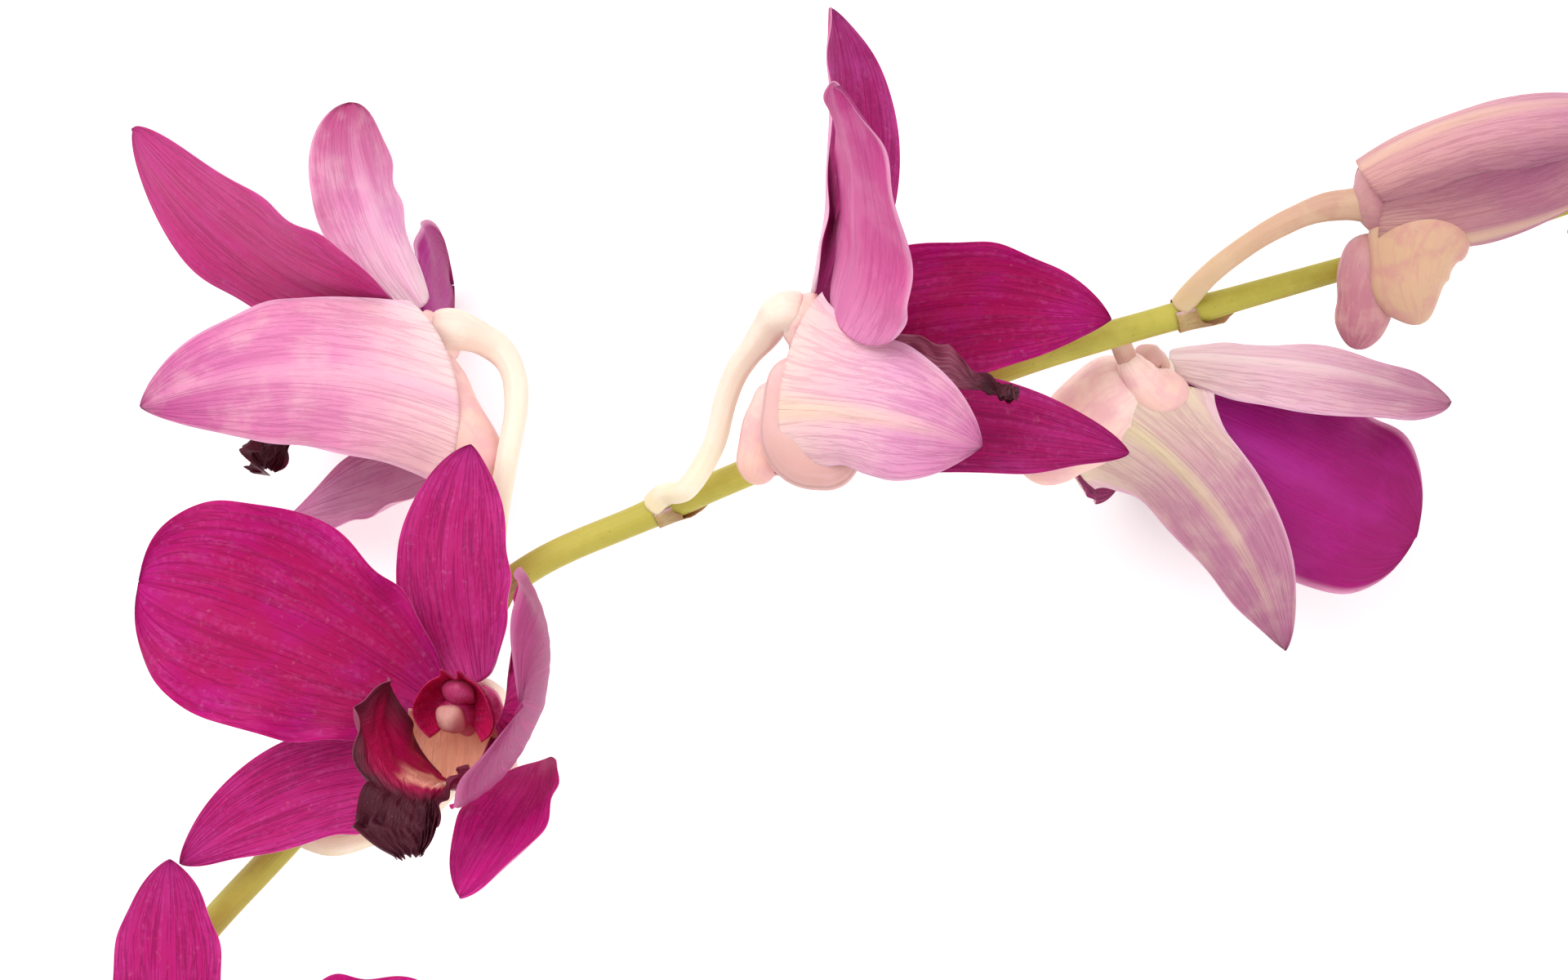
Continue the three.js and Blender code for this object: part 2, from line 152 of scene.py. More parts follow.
@dataclass(frozen=True)
class Curve:
    """A smooth curve through points: centripetal Catmull-Rom, ending at its first and last point.

    Attributes:
        points: The points it passes through, in mm.
    """

    points: tuple[Point, ...]

    def at(self, t: Array) -> Array:
        """Points at parameter t, equal steps of t from each given point to the next.

        Each span is a Hermite cubic whose end slopes come from its neighbours, with spans
        timed by the square root of their length.

        Args:
            t: Parameters from 0 to 1, in one dimension.

        Returns:
            One point per parameter.
        """
        given = np.array(self.points, float)
        padded = np.vstack([2 * given[0] - given[1], given, 2 * given[-1] - given[-2]])
        spans = len(given) - 1
        place = np.clip(np.asarray(t, float).ravel() * spans, 0.0, spans - 1e-9)
        first = place.astype(int)
        part = (place - first)[:, None]
        p0, p1, p2, p3 = (padded[first + k] for k in range(4))
        gap = [
            np.sqrt(np.linalg.norm(b - a, axis=1, keepdims=True)) for a, b in ((p0, p1), (p1, p2), (p2, p3))
        ]
        slope1 = (p1 - p0) / gap[0] - (p2 - p0) / (gap[0] + gap[1]) + (p2 - p1) / gap[1]
        slope2 = (p2 - p1) / gap[1] - (p3 - p1) / (gap[1] + gap[2]) + (p3 - p2) / gap[2]
        m1, m2 = slope1 * gap[1], slope2 * gap[1]
        square, cube = part**2, part**3
        return (
            (2 * cube - 3 * square + 1) * p1
            + (cube - 2 * square + part) * m1
            + (3 * square - 2 * cube) * p2
            + (cube - square) * m2
        )

    def tangent(self, t: Array) -> Array:
        """Unit direction of travel at parameter t."""
        step = 1e-4
        return unit(self.at(np.minimum(t + step, 1.0)) - self.at(np.maximum(t - step, 0.0)))

    def even(self, s: Array) -> Array:
        """The parameters that lie at fractions s of the curve's length.

        Args:
            s: Fractions of the length, from 0 to 1.

        Returns:
            One parameter per fraction.
        """
        fine = np.linspace(0.0, 1.0, 60 * len(self.points))
        steps = np.linalg.norm(np.diff(self.at(fine), axis=0), axis=1)
        length = np.concatenate([[0.0], np.cumsum(steps)])
        return np.interp(np.asarray(s) * length[-1], length, fine)

    def frames(self, t: Array) -> tuple[Array, Array, Array]:
        """Tangents and two square directions, turned as little as possible along the curve.

        Args:
            t: Parameters from 0 to 1.

        Returns:
            Tangents, normals and binormals, one of each per parameter.
        """
        tangents = self.tangent(t)
        normal = unit(np.cross(tangents[0], [0.31, 0.2, 0.93]))
        normals = []
        for tangent in tangents:
            normal = square_to(normal, tangent)
            normals.append(normal)
        return tangents, np.array(normals), np.cross(tangents, np.array(normals))


# ------------------------------------------------------------------ meshes from grids


@dataclass
class Grid:
    """A closed mesh worked out on a grid, with the coordinates that its finish reads.

    Attributes:
        points: Vertices, in mm.
        faces: Vertex numbers of each four-sided face.
        coordinates: The two surface parameters of each vertex, 0 to 1.
        inner: 1 on the inner side of a leaf-like piece and 0 on its outer side.
        triangles: Vertex numbers of each three-sided face at a pole.
    """

    points: Array
    faces: NDArray[np.int64]
    coordinates: Array
    inner: Array
    triangles: NDArray[np.int64] = field(default_factory=lambda: np.zeros((0, 3), np.int64))


def shell(surface: Array, normals: Array, thickness: Array, coordinates: Array) -> Grid:
    """A wall around a middle surface: each point plus and minus half the thickness along its normal.

    Args:
        surface: Middle surface, rows by columns by 3.
        normals: Unit normals towards the inner side, rows by columns by 3.
        thickness: Wall, rows by columns.
        coordinates: Parameters u and v from 0 to 1, rows by columns by 2.

    Returns:
        The closed wall.
    """
    rows, columns = surface.shape[:2]
    half = thickness[..., None] / 2.0
    points = np.concatenate(
        [(surface + normals * half).reshape(-1, 3), (surface - normals * half).reshape(-1, 3)]
    )
    index = np.arange(rows * columns).reshape(rows, columns)
    back = rows * columns
    quads = np.stack([index[:-1, :-1], index[:-1, 1:], index[1:, 1:], index[1:, :-1]], -1).reshape(-1, 4)
    loop = np.concatenate([index[0, :-1], index[:-1, -1], index[-1, :0:-1], index[:0:-1, 0]])
    ahead = np.roll(loop, -1)
    rim = np.stack([ahead, loop, loop + back, ahead + back], -1)
    faces = np.concatenate([quads, quads[:, ::-1] + back, rim])
    pairs = coordinates.reshape(-1, 2)
    side = np.concatenate([np.ones(back), np.zeros(back)])
    return Grid(points, faces, np.concatenate([pairs, pairs]), side)


def tube(centres: Array, normals: Array, binormals: Array, radii: Array) -> Grid:
    """A closed body of rings: centre plus radius times (normal cos a plus binormal sin a).

    Args:
        centres: Ring centres.
        normals: Ring directions where the angle is zero.
        binormals: Ring directions where the angle is a quarter turn.
        radii: Radius for each ring and angle, rings by sides.

    Returns:
        The body, closed at both ends by a pole.
    """
    rings, sides = radii.shape
    angle = np.arange(sides) * 2.0 * math.pi / sides
    spoke = (
        normals[:, None] * np.cos(angle)[None, :, None] + binormals[:, None] * np.sin(angle)[None, :, None]
    )
    points = (centres[:, None] + spoke * radii[..., None]).reshape(-1, 3)
    index = np.arange(rings * sides).reshape(rings, sides)
    after = np.roll(index, -1, axis=1)
    faces = np.stack([index[:-1], after[:-1], after[1:], index[1:]], -1).reshape(-1, 4)
    first, last = rings * sides, rings * sides + 1
    start = np.stack([np.full(sides, first), after[0], index[0]], -1)
    end = np.stack([np.full(sides, last), index[-1], after[-1]], -1)
    along = np.repeat(np.linspace(0.0, 1.0, rings), sides)
    around = np.tile(np.arange(sides) / sides, rings)
    coordinates = np.concatenate([np.stack([along, around], -1), [[0.0, 0.5], [1.0, 0.5]]])
    points = np.concatenate([points, centres[:1], centres[-1:]])
    return Grid(points, faces, coordinates, np.zeros(len(points)), np.concatenate([start, end]))


def make_piece(
    name: str, grid: Grid, material: bpy.types.Material, nodes: tuple[str, ...]
) -> None:
    """Puts a grid into the scene as one piece of the spray.

    Args:
        name: Name of the new object.
        grid: Its mesh.
        material: Its finish.
        nodes: Solids that it stands for.
    """
    mesh = bpy.data.meshes.new(name)
    corners = [*grid.faces.tolist(), *grid.triangles.tolist()]
    mesh.from_pydata(PLACEMENT.to_frame(grid.points), [], corners)
    vertex = np.zeros(len(mesh.loops), np.int32)
    mesh.loops.foreach_get("vertex_index", vertex)
    layer = mesh.uv_layers.new(name="surface")
    layer.uv.foreach_set("vector", grid.coordinates[vertex].astype(np.float32).ravel())
    side = mesh.attributes.new("inner", "FLOAT", "POINT")
    side.data.foreach_set("value", grid.inner.astype(np.float32))
    mesh.polygons.foreach_set("use_smooth", np.ones(len(mesh.polygons), bool))
    mesh.validate()
    mesh.update()
    piece = bpy.data.objects.new(name, mesh)
    piece.data.materials.append(material)
    bpy.context.scene.collection.objects.link(piece)
    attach(piece, "root")
    if nodes:
        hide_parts(*nodes)
    LOG.info("%s: %d faces", name, len(corners))


# ------------------------------------------------------------------ finishes


def colour(code: str) -> tuple[float, float, float, float]:
    """An sRGB hex colour as linear red, green, blue and alpha.

    Args:
        code: The colour as a number sign and six hex digits.

    Returns:
        Linear red, green and blue from 0 to 1, and an alpha of 1.
    """
    parts = [int(code[k : k + 2], 16) / 255.0 for k in (1, 3, 5)]
    linear = [c / 12.92 if c <= 0.04045 else ((c + 0.055) / 1.055) ** 2.4 for c in parts]
    return (linear[0], linear[1], linear[2], 1.0)


class Step(Enum):
    """The nodes that finishes are made of: kind, settings, inputs in order, and output to read."""

    ADD = ("ShaderNodeMath", {"operation": "ADD"}, (0, 1), 0)
    SUBTRACT = ("ShaderNodeMath", {"operation": "SUBTRACT"}, (0, 1), 0)
    MULTIPLY = ("ShaderNodeMath", {"operation": "MULTIPLY"}, (0, 1), 0)
    SCALE_AND_ADD = ("ShaderNodeMath", {"operation": "MULTIPLY_ADD"}, (0, 1, 2), 0)
    MAXIMUM = ("ShaderNodeMath", {"operation": "MAXIMUM"}, (0, 1), 0)
    ABSOLUTE = ("ShaderNodeMath", {"operation": "ABSOLUTE"}, (0,), 0)
    BLEND = ("ShaderNodeMix", {"data_type": "RGBA"}, (0, 6, 7), 2)
    BAND = ("ShaderNodeMapRange", {"interpolation_type": "SMOOTHSTEP"}, (0, 1, 2), 0)
    RAMP = ("ShaderNodeValToRGB", {}, (0,), 0)
    MAP = ("ShaderNodeUVMap", {"uv_map": "surface"}, (), 0)
    ALONG = ("ShaderNodeSeparateXYZ", {}, (0,), 0)
    ACROSS = ("ShaderNodeSeparateXYZ", {}, (0,), 1)
    SIDE = ("ShaderNodeAttribute", {"attribute_name": "inner"}, (), "Fac")
    PLACE = ("ShaderNodeTexCoord", {}, (), "Object")
    COMBINE = ("ShaderNodeCombineXYZ", {}, (0, 1), 0)
    FLAT_NOISE = (
        "ShaderNodeTexNoise",
        {"noise_dimensions": "2D"},
        ("Vector", "Scale", "Detail", "Roughness", "Distortion"),
        0,
    )
    NOISE = ("ShaderNodeTexNoise", {}, ("Vector", "Scale", "Detail", "Roughness"), 0)
    BUMP = ("ShaderNodeBump", {}, ("Strength", "Distance", "Height"), 0)
    SKIN = (
        "ShaderNodeBsdfPrincipled",
        {},
        (
            "Base Color",
            "Roughness",
            "Normal",
            "IOR",
            "Specular IOR Level",
            "Subsurface Weight",
            "Subsurface Radius",
            "Subsurface Scale",
        ),
        0,
    )
    OUTPUT = ("ShaderNodeOutputMaterial", {}, (0,), None)


def add_node(
    tree: bpy.types.NodeTree, step: Step, *values: object, stops: tuple[tuple[float, str], ...] = ()
) -> Optional[bpy.types.NodeSocket]:
    """Adds one node with its settings and links.

    Args:
        tree: The material's tree.
        step: Which node it is.
        values: A value, or a socket to link from, for each of its inputs in order.
        stops: Places and hex colours of a colour ramp.

    Returns:
        The socket with the node's result, or None for the output node.
    """
    kind, settings, inputs, output = step.value
    made = tree.nodes.new(kind)
    for key, value in settings.items():
        setattr(made, key, value)
    for key, value in zip(inputs, values):
        if isinstance(value, bpy.types.NodeSocket):
            tree.links.new(value, made.inputs[key])
        else:
            made.inputs[key].default_value = value
    for number, (place, code) in enumerate(stops):
        elements = made.color_ramp.elements
        element = elements[number] if number < len(elements) else elements.new(1.0)
        element.position = place
        element.color = colour(code)
    return None if output is None else made.outputs[output]


@dataclass(frozen=True)
class SurfaceSockets:
    """What every finish reads of a piece: where a point is along it, across it and on which side."""

    along: bpy.types.NodeSocket
    across: bpy.types.NodeSocket
    edge: bpy.types.NodeSocket
    inner: bpy.types.NodeSocket
    place: bpy.types.NodeSocket


def start_finish(name: str) -> tuple[bpy.types.Material, bpy.types.NodeTree, SurfaceSockets]:
    """An empty material with the sockets that a finish starts from.

    Args:
        name: The material's name.

    Returns:
        The material, its node tree and its surface sockets.
    """
    material = bpy.data.materials.new(name)
    material.use_nodes = True
    tree = material.node_tree
    tree.nodes.clear()
    flat = add_node(tree, Step.MAP)
    along = add_node(tree, Step.ALONG, flat)
    across = add_node(tree, Step.ACROSS, flat)
    edge = add_node(tree, Step.ABSOLUTE, add_node(tree, Step.SCALE_AND_ADD, across, 2.0, -1.0))
    sockets = SurfaceSockets(along, across, edge, add_node(tree, Step.SIDE), add_node(tree, Step.PLACE))
    return material, tree, sockets


def streaks(
    tree: bpy.types.NodeTree, along: object, across: object, lengthways: float, crossways: float
) -> bpy.types.NodeSocket:
    """Noise drawn out along a piece, which reads as veins, and its socket.

    Args:
        tree: The material's tree.
        along: Position along the piece.
        across: Position across it.
        lengthways: How many cells of noise lie along the piece.
        crossways: How many lie across it.

    Returns:
        A value of about 0.3 to 0.7.
    """
    x = add_node(tree, Step.MULTIPLY, along, lengthways)
    y = add_node(tree, Step.MULTIPLY, across, crossways)
    return add_node(tree, Step.FLAT_NOISE, add_node(tree, Step.COMBINE, x, y), 1.0, 2.5, 0.6, 0.35)


def cells(size_mm: float) -> float:
    """Scale of a noise whose cells are size_mm across: one over the size in metres."""
    return 1.0 / (size_mm * MILLIMETRE)


def end_finish(
    tree: bpy.types.NodeTree,
    base: object,
    roughness: object,
    height: object,
    relief_mm: float,
    glow: float,
    gloss: float = 0.22,
) -> None:
    """Closes a finish with one shader of living tissue.

    Args:
        tree: The material's tree.
        base: Colour.
        roughness: Roughness, a number or a socket.
        height: Relief from 0 to 1, a socket.
        relief_mm: Depth of the relief.
        glow: Share of light that enters the tissue and scatters in it.
        gloss: Strength of the mirror light; the wax of a petal is broken up by its cells.
    """
    bump = add_node(tree, Step.BUMP, 1.0, relief_mm * MILLIMETRE, height)
    scale = SCATTER_MM * MILLIMETRE
    skin = add_node(tree, Step.SKIN, base, roughness, bump, TISSUE_IOR, gloss, glow, SCATTER, scale)
    add_node(tree, Step.OUTPUT, skin)


@dataclass(frozen=True)
class PetalTissue:
    """Fresh petal or sepal tissue: thin, moist cells over branching veins.

    The eye sees a satin skin whose colour deepens from a pale foot to a rich blade, darker veins
    that fan out from the foot, a shifted colour towards edge and tip, a pale painted rim light
    along the outer edge, faint pale specks and, outside, a cream midrib.

    Attributes:
        name: Name of the material.
        inner_foot: Colour of the inner side at the foot.
        inner_blade: Colour of the inner side in the middle.
        inner_rim: Colour of the inner side towards edge and tip.
        inner_vein: Colour of its veins.
        outer_foot: Colour of the outer side at the foot.
        outer_blade: Colour of the outer side in the middle.
        outer_tip: Colour of the outer side at the tip.
        outer_rib: Colour of its midrib.
        foot_reach: How far the foot colours reach along the piece.
        vein_strength: How strongly veins colour the inner side.
        outer_edge: Colour of the outer side's edge: a pale painted rim light on petals and sepals, a dark
            seam line on the buds.
        edge_reach: Where across the outer side that edge colour starts.
        bloom: Colour of the fine pale mottling between the veins.
        bloom_strength: How strongly it shows.
    """

    name: str
    inner_foot: str
    inner_blade: str
    inner_rim: str
    inner_vein: str
    outer_foot: str
    outer_blade: str
    outer_tip: str
    outer_rib: str
    foot_reach: float = 0.25
    vein_strength: float = 0.55
    # Pale by default: painted rim light, where the thin tissue at the edge lets light through.
    outer_edge: str = "#e9b6d0"
    edge_reach: float = 0.9
    bloom: str = "#d45aac"
    bloom_strength: float = 0.24

    def build(self) -> bpy.types.Material:
        """Makes the material.

        Returns:
            The new material.
        """
        material, tree, at = start_finish(self.name)
        fan = add_node(tree, Step.SUBTRACT, at.edge, add_node(tree, Step.MULTIPLY, at.along, 0.55))
        long_veins = streaks(tree, at.along, at.across, 2.2, 46.0)
        side_veins = streaks(tree, at.along, fan, 5.0, 26.0)
        fine = streaks(tree, at.along, at.across, 7.0, 120.0)
        veins = add_node(tree, Step.BAND, long_veins, 0.52, 0.66)
        branches = add_node(
            tree,
            Step.MULTIPLY,
            add_node(tree, Step.BAND, side_veins, 0.53, 0.66),
            add_node(tree, Step.BAND, at.edge, 0.1, 0.45),
        )
        network = add_node(tree, Step.MAXIMUM, veins, add_node(tree, Step.MULTIPLY, branches, 0.8))
        cloud = add_node(tree, Step.NOISE, at.place, cells(5.0), 4.0, 0.55)
        # Fine pale specks with cells about 0.9 mm across, blended faintly into the inner side.
        pale_specks = add_node(
            tree, Step.BAND, add_node(tree, Step.NOISE, at.place, cells(0.9), 4.0, 0.55), 0.6, 0.78
        )

        foot = add_node(tree, Step.BAND, at.along, 0.02, self.foot_reach)
        blade = add_node(tree, Step.BLEND, foot, colour(self.inner_foot), colour(self.inner_blade))
        rim = add_node(
            tree,
            Step.MAXIMUM,
            add_node(tree, Step.BAND, at.edge, 0.55, 1.0),
            add_node(tree, Step.BAND, at.along, 0.7, 1.0),
        )
        blade = add_node(
            tree, Step.BLEND, add_node(tree, Step.MULTIPLY, rim, cloud), blade, colour(self.inner_rim)
        )
        blade = add_node(
            tree,
            Step.BLEND,
            add_node(tree, Step.MULTIPLY, add_node(tree, Step.BAND, cloud, 0.45, 0.7), 0.45),
            blade,
            colour(self.inner_rim),
        )
        ink = add_node(tree, Step.MULTIPLY, network, self.vein_strength)
        blade = add_node(tree, Step.BLEND, ink, blade, colour(self.inner_vein))
        mottle = add_node(
            tree, Step.BAND, add_node(tree, Step.NOISE, at.place, cells(0.7), 3.0, 0.55), 0.35, 0.75
        )
        drift = add_node(tree, Step.BAND, streaks(tree, at.along, at.across, 3.0, 18.0), 0.4, 0.7)
        haze = add_node(
            tree, Step.MULTIPLY, add_node(tree, Step.MULTIPLY, mottle, drift), self.bloom_strength
        )
        blade = add_node(tree, Step.BLEND, haze, blade, colour(self.bloom))
        # The inner side pales faintly in the specks.
        inside = add_node(
            tree, Step.BLEND, add_node(tree, Step.MULTIPLY, pale_specks, 0.09), blade, colour("#f3c3dc")
        )

        stops = ((0.0, self.outer_foot), (self.foot_reach + 0.1, self.outer_blade), (1.0, self.outer_tip))
        reach = add_node(tree, Step.RAMP, at.along, stops=stops)
        tint = add_node(tree, Step.MULTIPLY, add_node(tree, Step.BAND, cloud, 0.42, 0.7), 0.3)
        back = add_node(tree, Step.BLEND, tint, reach, colour(self.outer_foot))
        back = add_node(
            tree,
            Step.BLEND,
            add_node(tree, Step.MULTIPLY, network, self.vein_strength * 0.45),
            back,
            colour(self.inner_rim),
        )
        rib = add_node(tree, Step.SUBTRACT, 1.0, add_node(tree, Step.BAND, at.edge, 0.02, 0.22))
        rib = add_node(tree, Step.MULTIPLY, rib, add_node(tree, Step.BAND, at.along, 1.15, 0.1))
        back = add_node(
            tree, Step.BLEND, add_node(tree, Step.MULTIPLY, rib, 0.75), back, colour(self.outer_rib)
        )
        # Thin band along the outer side's edge in the edge colour: a pale painted rim light on petals and
        # sepals, a dark seam line on the buds.
        edge = add_node(tree, Step.MULTIPLY, add_node(tree, Step.BAND, at.edge, self.edge_reach, 1.0), 0.6)
        back = add_node(tree, Step.BLEND, edge, back, colour(self.outer_edge))

        base = add_node(tree, Step.BLEND, at.inner, back, inside)
        relief = add_node(
            tree,
            Step.ADD,
            add_node(tree, Step.MULTIPLY, network, 0.5),
            add_node(tree, Step.MULTIPLY, fine, 0.5),
        )
        relief = add_node(
            tree,
            Step.ADD,
            relief,
            add_node(
                tree, Step.MULTIPLY, add_node(tree, Step.NOISE, at.place, cells(0.35), 2.0, 0.55), 0.35
            ),
        )
        rough = add_node(tree, Step.SCALE_AND_ADD, cloud, 0.25, 0.38)
        end_finish(tree, base, rough, relief, 0.1, glow=0.18)
        return material


@dataclass(frozen=True)
class LipTissue:
    """Lip tissue: a salmon throat, magenta walls and a velvety, nearly black end lobe.

    The eye sees a waxy throat with a pale centre line, walls that darken to maroon with raised
    veins towards their rims, and a dull, crinkled end lobe dusted with short pale hairs.

    Attributes:
        name: Name of the material.
        throat: Colour of the throat.
        wall: Colour of the inner walls.
        rim: Colour of the rims and the end lobe.
        back: Colour of the outer side of the side lobes.
    """

    name: str = "lip_velvet_tissue"
    throat: str = "#e8a28c"
    wall: str = "#b40a50"
    rim: str = "#4a1424"
    back: str = "#8a3a55"

    def build(self) -> bpy.types.Material:
        """Makes the material.

        Returns:
            The new material.
        """
        material, tree, at = start_finish(self.name)
        ribs = streaks(tree, at.along, at.across, 3.0, 60.0)
        crinkle = streaks(tree, at.along, at.across, 14.0, 42.0)
        cloud = add_node(tree, Step.NOISE, at.place, cells(2.2), 4.0, 0.55)
        wobble = add_node(tree, Step.SCALE_AND_ADD, cloud, 0.12, -0.06)
        edge = add_node(tree, Step.ADD, at.edge, wobble)
        along = add_node(tree, Step.ADD, at.along, wobble)
        open_throat = add_node(
            tree,
            Step.MULTIPLY,
            add_node(tree, Step.BAND, edge, 0.42, 0.26),
            add_node(tree, Step.BAND, along, 0.56, 0.46),
        )
        wall = add_node(
            tree,
            Step.BLEND,
            add_node(tree, Step.BAND, edge, 0.62, 1.05),
            colour(self.wall),
            colour(self.rim),
        )
        wall = add_node(
            tree, Step.BLEND, add_node(tree, Step.BAND, along, 0.5, 0.68), wall, colour(self.rim)
        )
        inside = add_node(tree, Step.BLEND, open_throat, wall, colour(self.throat))
        line = add_node(tree, Step.MULTIPLY, add_node(tree, Step.BAND, at.edge, 0.035, 0.0), open_throat)
        inside = add_node(
            tree, Step.BLEND, add_node(tree, Step.MULTIPLY, line, 0.8), inside, colour("#fbe3d2")
        )
        veins = add_node(tree, Step.MULTIPLY, add_node(tree, Step.BAND, ribs, 0.5, 0.64), 0.6)
        outside = add_node(tree, Step.BLEND, veins, colour(self.back), colour("#a8677c"))
        outside = add_node(
            tree, Step.BLEND, add_node(tree, Step.BAND, along, 0.5, 0.75), outside, colour(self.rim)
        )
        outside = add_node(
            tree, Step.BLEND, add_node(tree, Step.BAND, along, 0.2, 0.02), outside, colour("#e8b7ac")
        )
        base = add_node(tree, Step.BLEND, at.inner, outside, inside)
        hairs = add_node(
            tree, Step.BAND, add_node(tree, Step.NOISE, at.place, cells(0.22), 2.0, 0.55), 0.66, 0.74
        )
        dusk = add_node(
            tree,
            Step.MULTIPLY,
            hairs,
            add_node(tree, Step.MULTIPLY, add_node(tree, Step.BAND, at.along, 0.45, 0.65), 0.4),
        )
        base = add_node(tree, Step.BLEND, dusk, base, colour("#a5707c"))
        relief = add_node(
            tree,
            Step.ADD,
            add_node(tree, Step.MULTIPLY, ribs, 0.5),
            add_node(tree, Step.MULTIPLY, crinkle, 0.8),
        )
        rough = add_node(tree, Step.SCALE_AND_ADD, cloud, 0.2, 0.4)
        end_finish(tree, base, rough, relief, 0.26, glow=0.1, gloss=0.3)
        return material


@dataclass(frozen=True)
class SmoothTissue:
    """Firm waxy tissue of stem, stalks, column and buds, shaded along its length.

    The eye sees a soft gloss, fine lengthwise fibres, cloudy colour and a few tiny specks.

    Attributes:
        name: Name of the material.
        start: Colour at the start of the piece.
        middle: Colour at its middle.
        end: Colour at its end.
        cloud: Colour of the cloudy patches.
        speck: Colour of the specks.
        speck_share: How dense the specks are, 0 to 1.
        roughness: Roughness of the skin.
        glow: Share of light scattered inside.
        fibres: How many fibres lie around the piece.
        relief_mm: Depth of the fibres.
    """

    name: str
    start: str
    middle: str
    end: str
    cloud: str
    speck: str
    speck_share: float = 0.2
    roughness: float = 0.42
    glow: float = 0.2
    fibres: float = 34.0
    relief_mm: float = 0.05

    def build(self) -> bpy.types.Material:
        """Makes the material.

        Returns:
            The new material.
        """
        material, tree, at = start_finish(self.name)
        stops = ((0.0, self.start), (0.5, self.middle), (1.0, self.end))
        shade = add_node(tree, Step.RAMP, at.along, stops=stops)
        fibre = streaks(tree, at.along, at.across, 5.0, self.fibres)
        patch = add_node(
            tree, Step.BAND, add_node(tree, Step.NOISE, at.place, cells(3.5), 3.0, 0.55), 0.42, 0.68
        )
        base = add_node(
            tree, Step.BLEND, add_node(tree, Step.MULTIPLY, patch, 0.6), shade, colour(self.cloud)
        )
        base = add_node(
            tree,
            Step.BLEND,
            add_node(tree, Step.MULTIPLY, add_node(tree, Step.BAND, fibre, 0.5, 0.68), 0.3),
            base,
            colour(self.cloud),
        )
        specks = add_node(
            tree, Step.BAND, add_node(tree, Step.NOISE, at.place, cells(0.5), 3.0, 0.55), 0.64, 0.72
        )
        base = add_node(
            tree,
            Step.BLEND,
            add_node(tree, Step.MULTIPLY, specks, self.speck_share),
            base,
            colour(self.speck),
        )
        relief = add_node(
            tree,
            Step.ADD,
            fibre,
            add_node(tree, Step.MULTIPLY, add_node(tree, Step.NOISE, at.place, cells(0.3), 2.0, 0.55), 0.4),
        )
        rough = add_node(tree, Step.SCALE_AND_ADD, patch, 0.12, self.roughness)
        end_finish(tree, base, rough, relief, self.relief_mm, self.glow, 0.35)
        return material


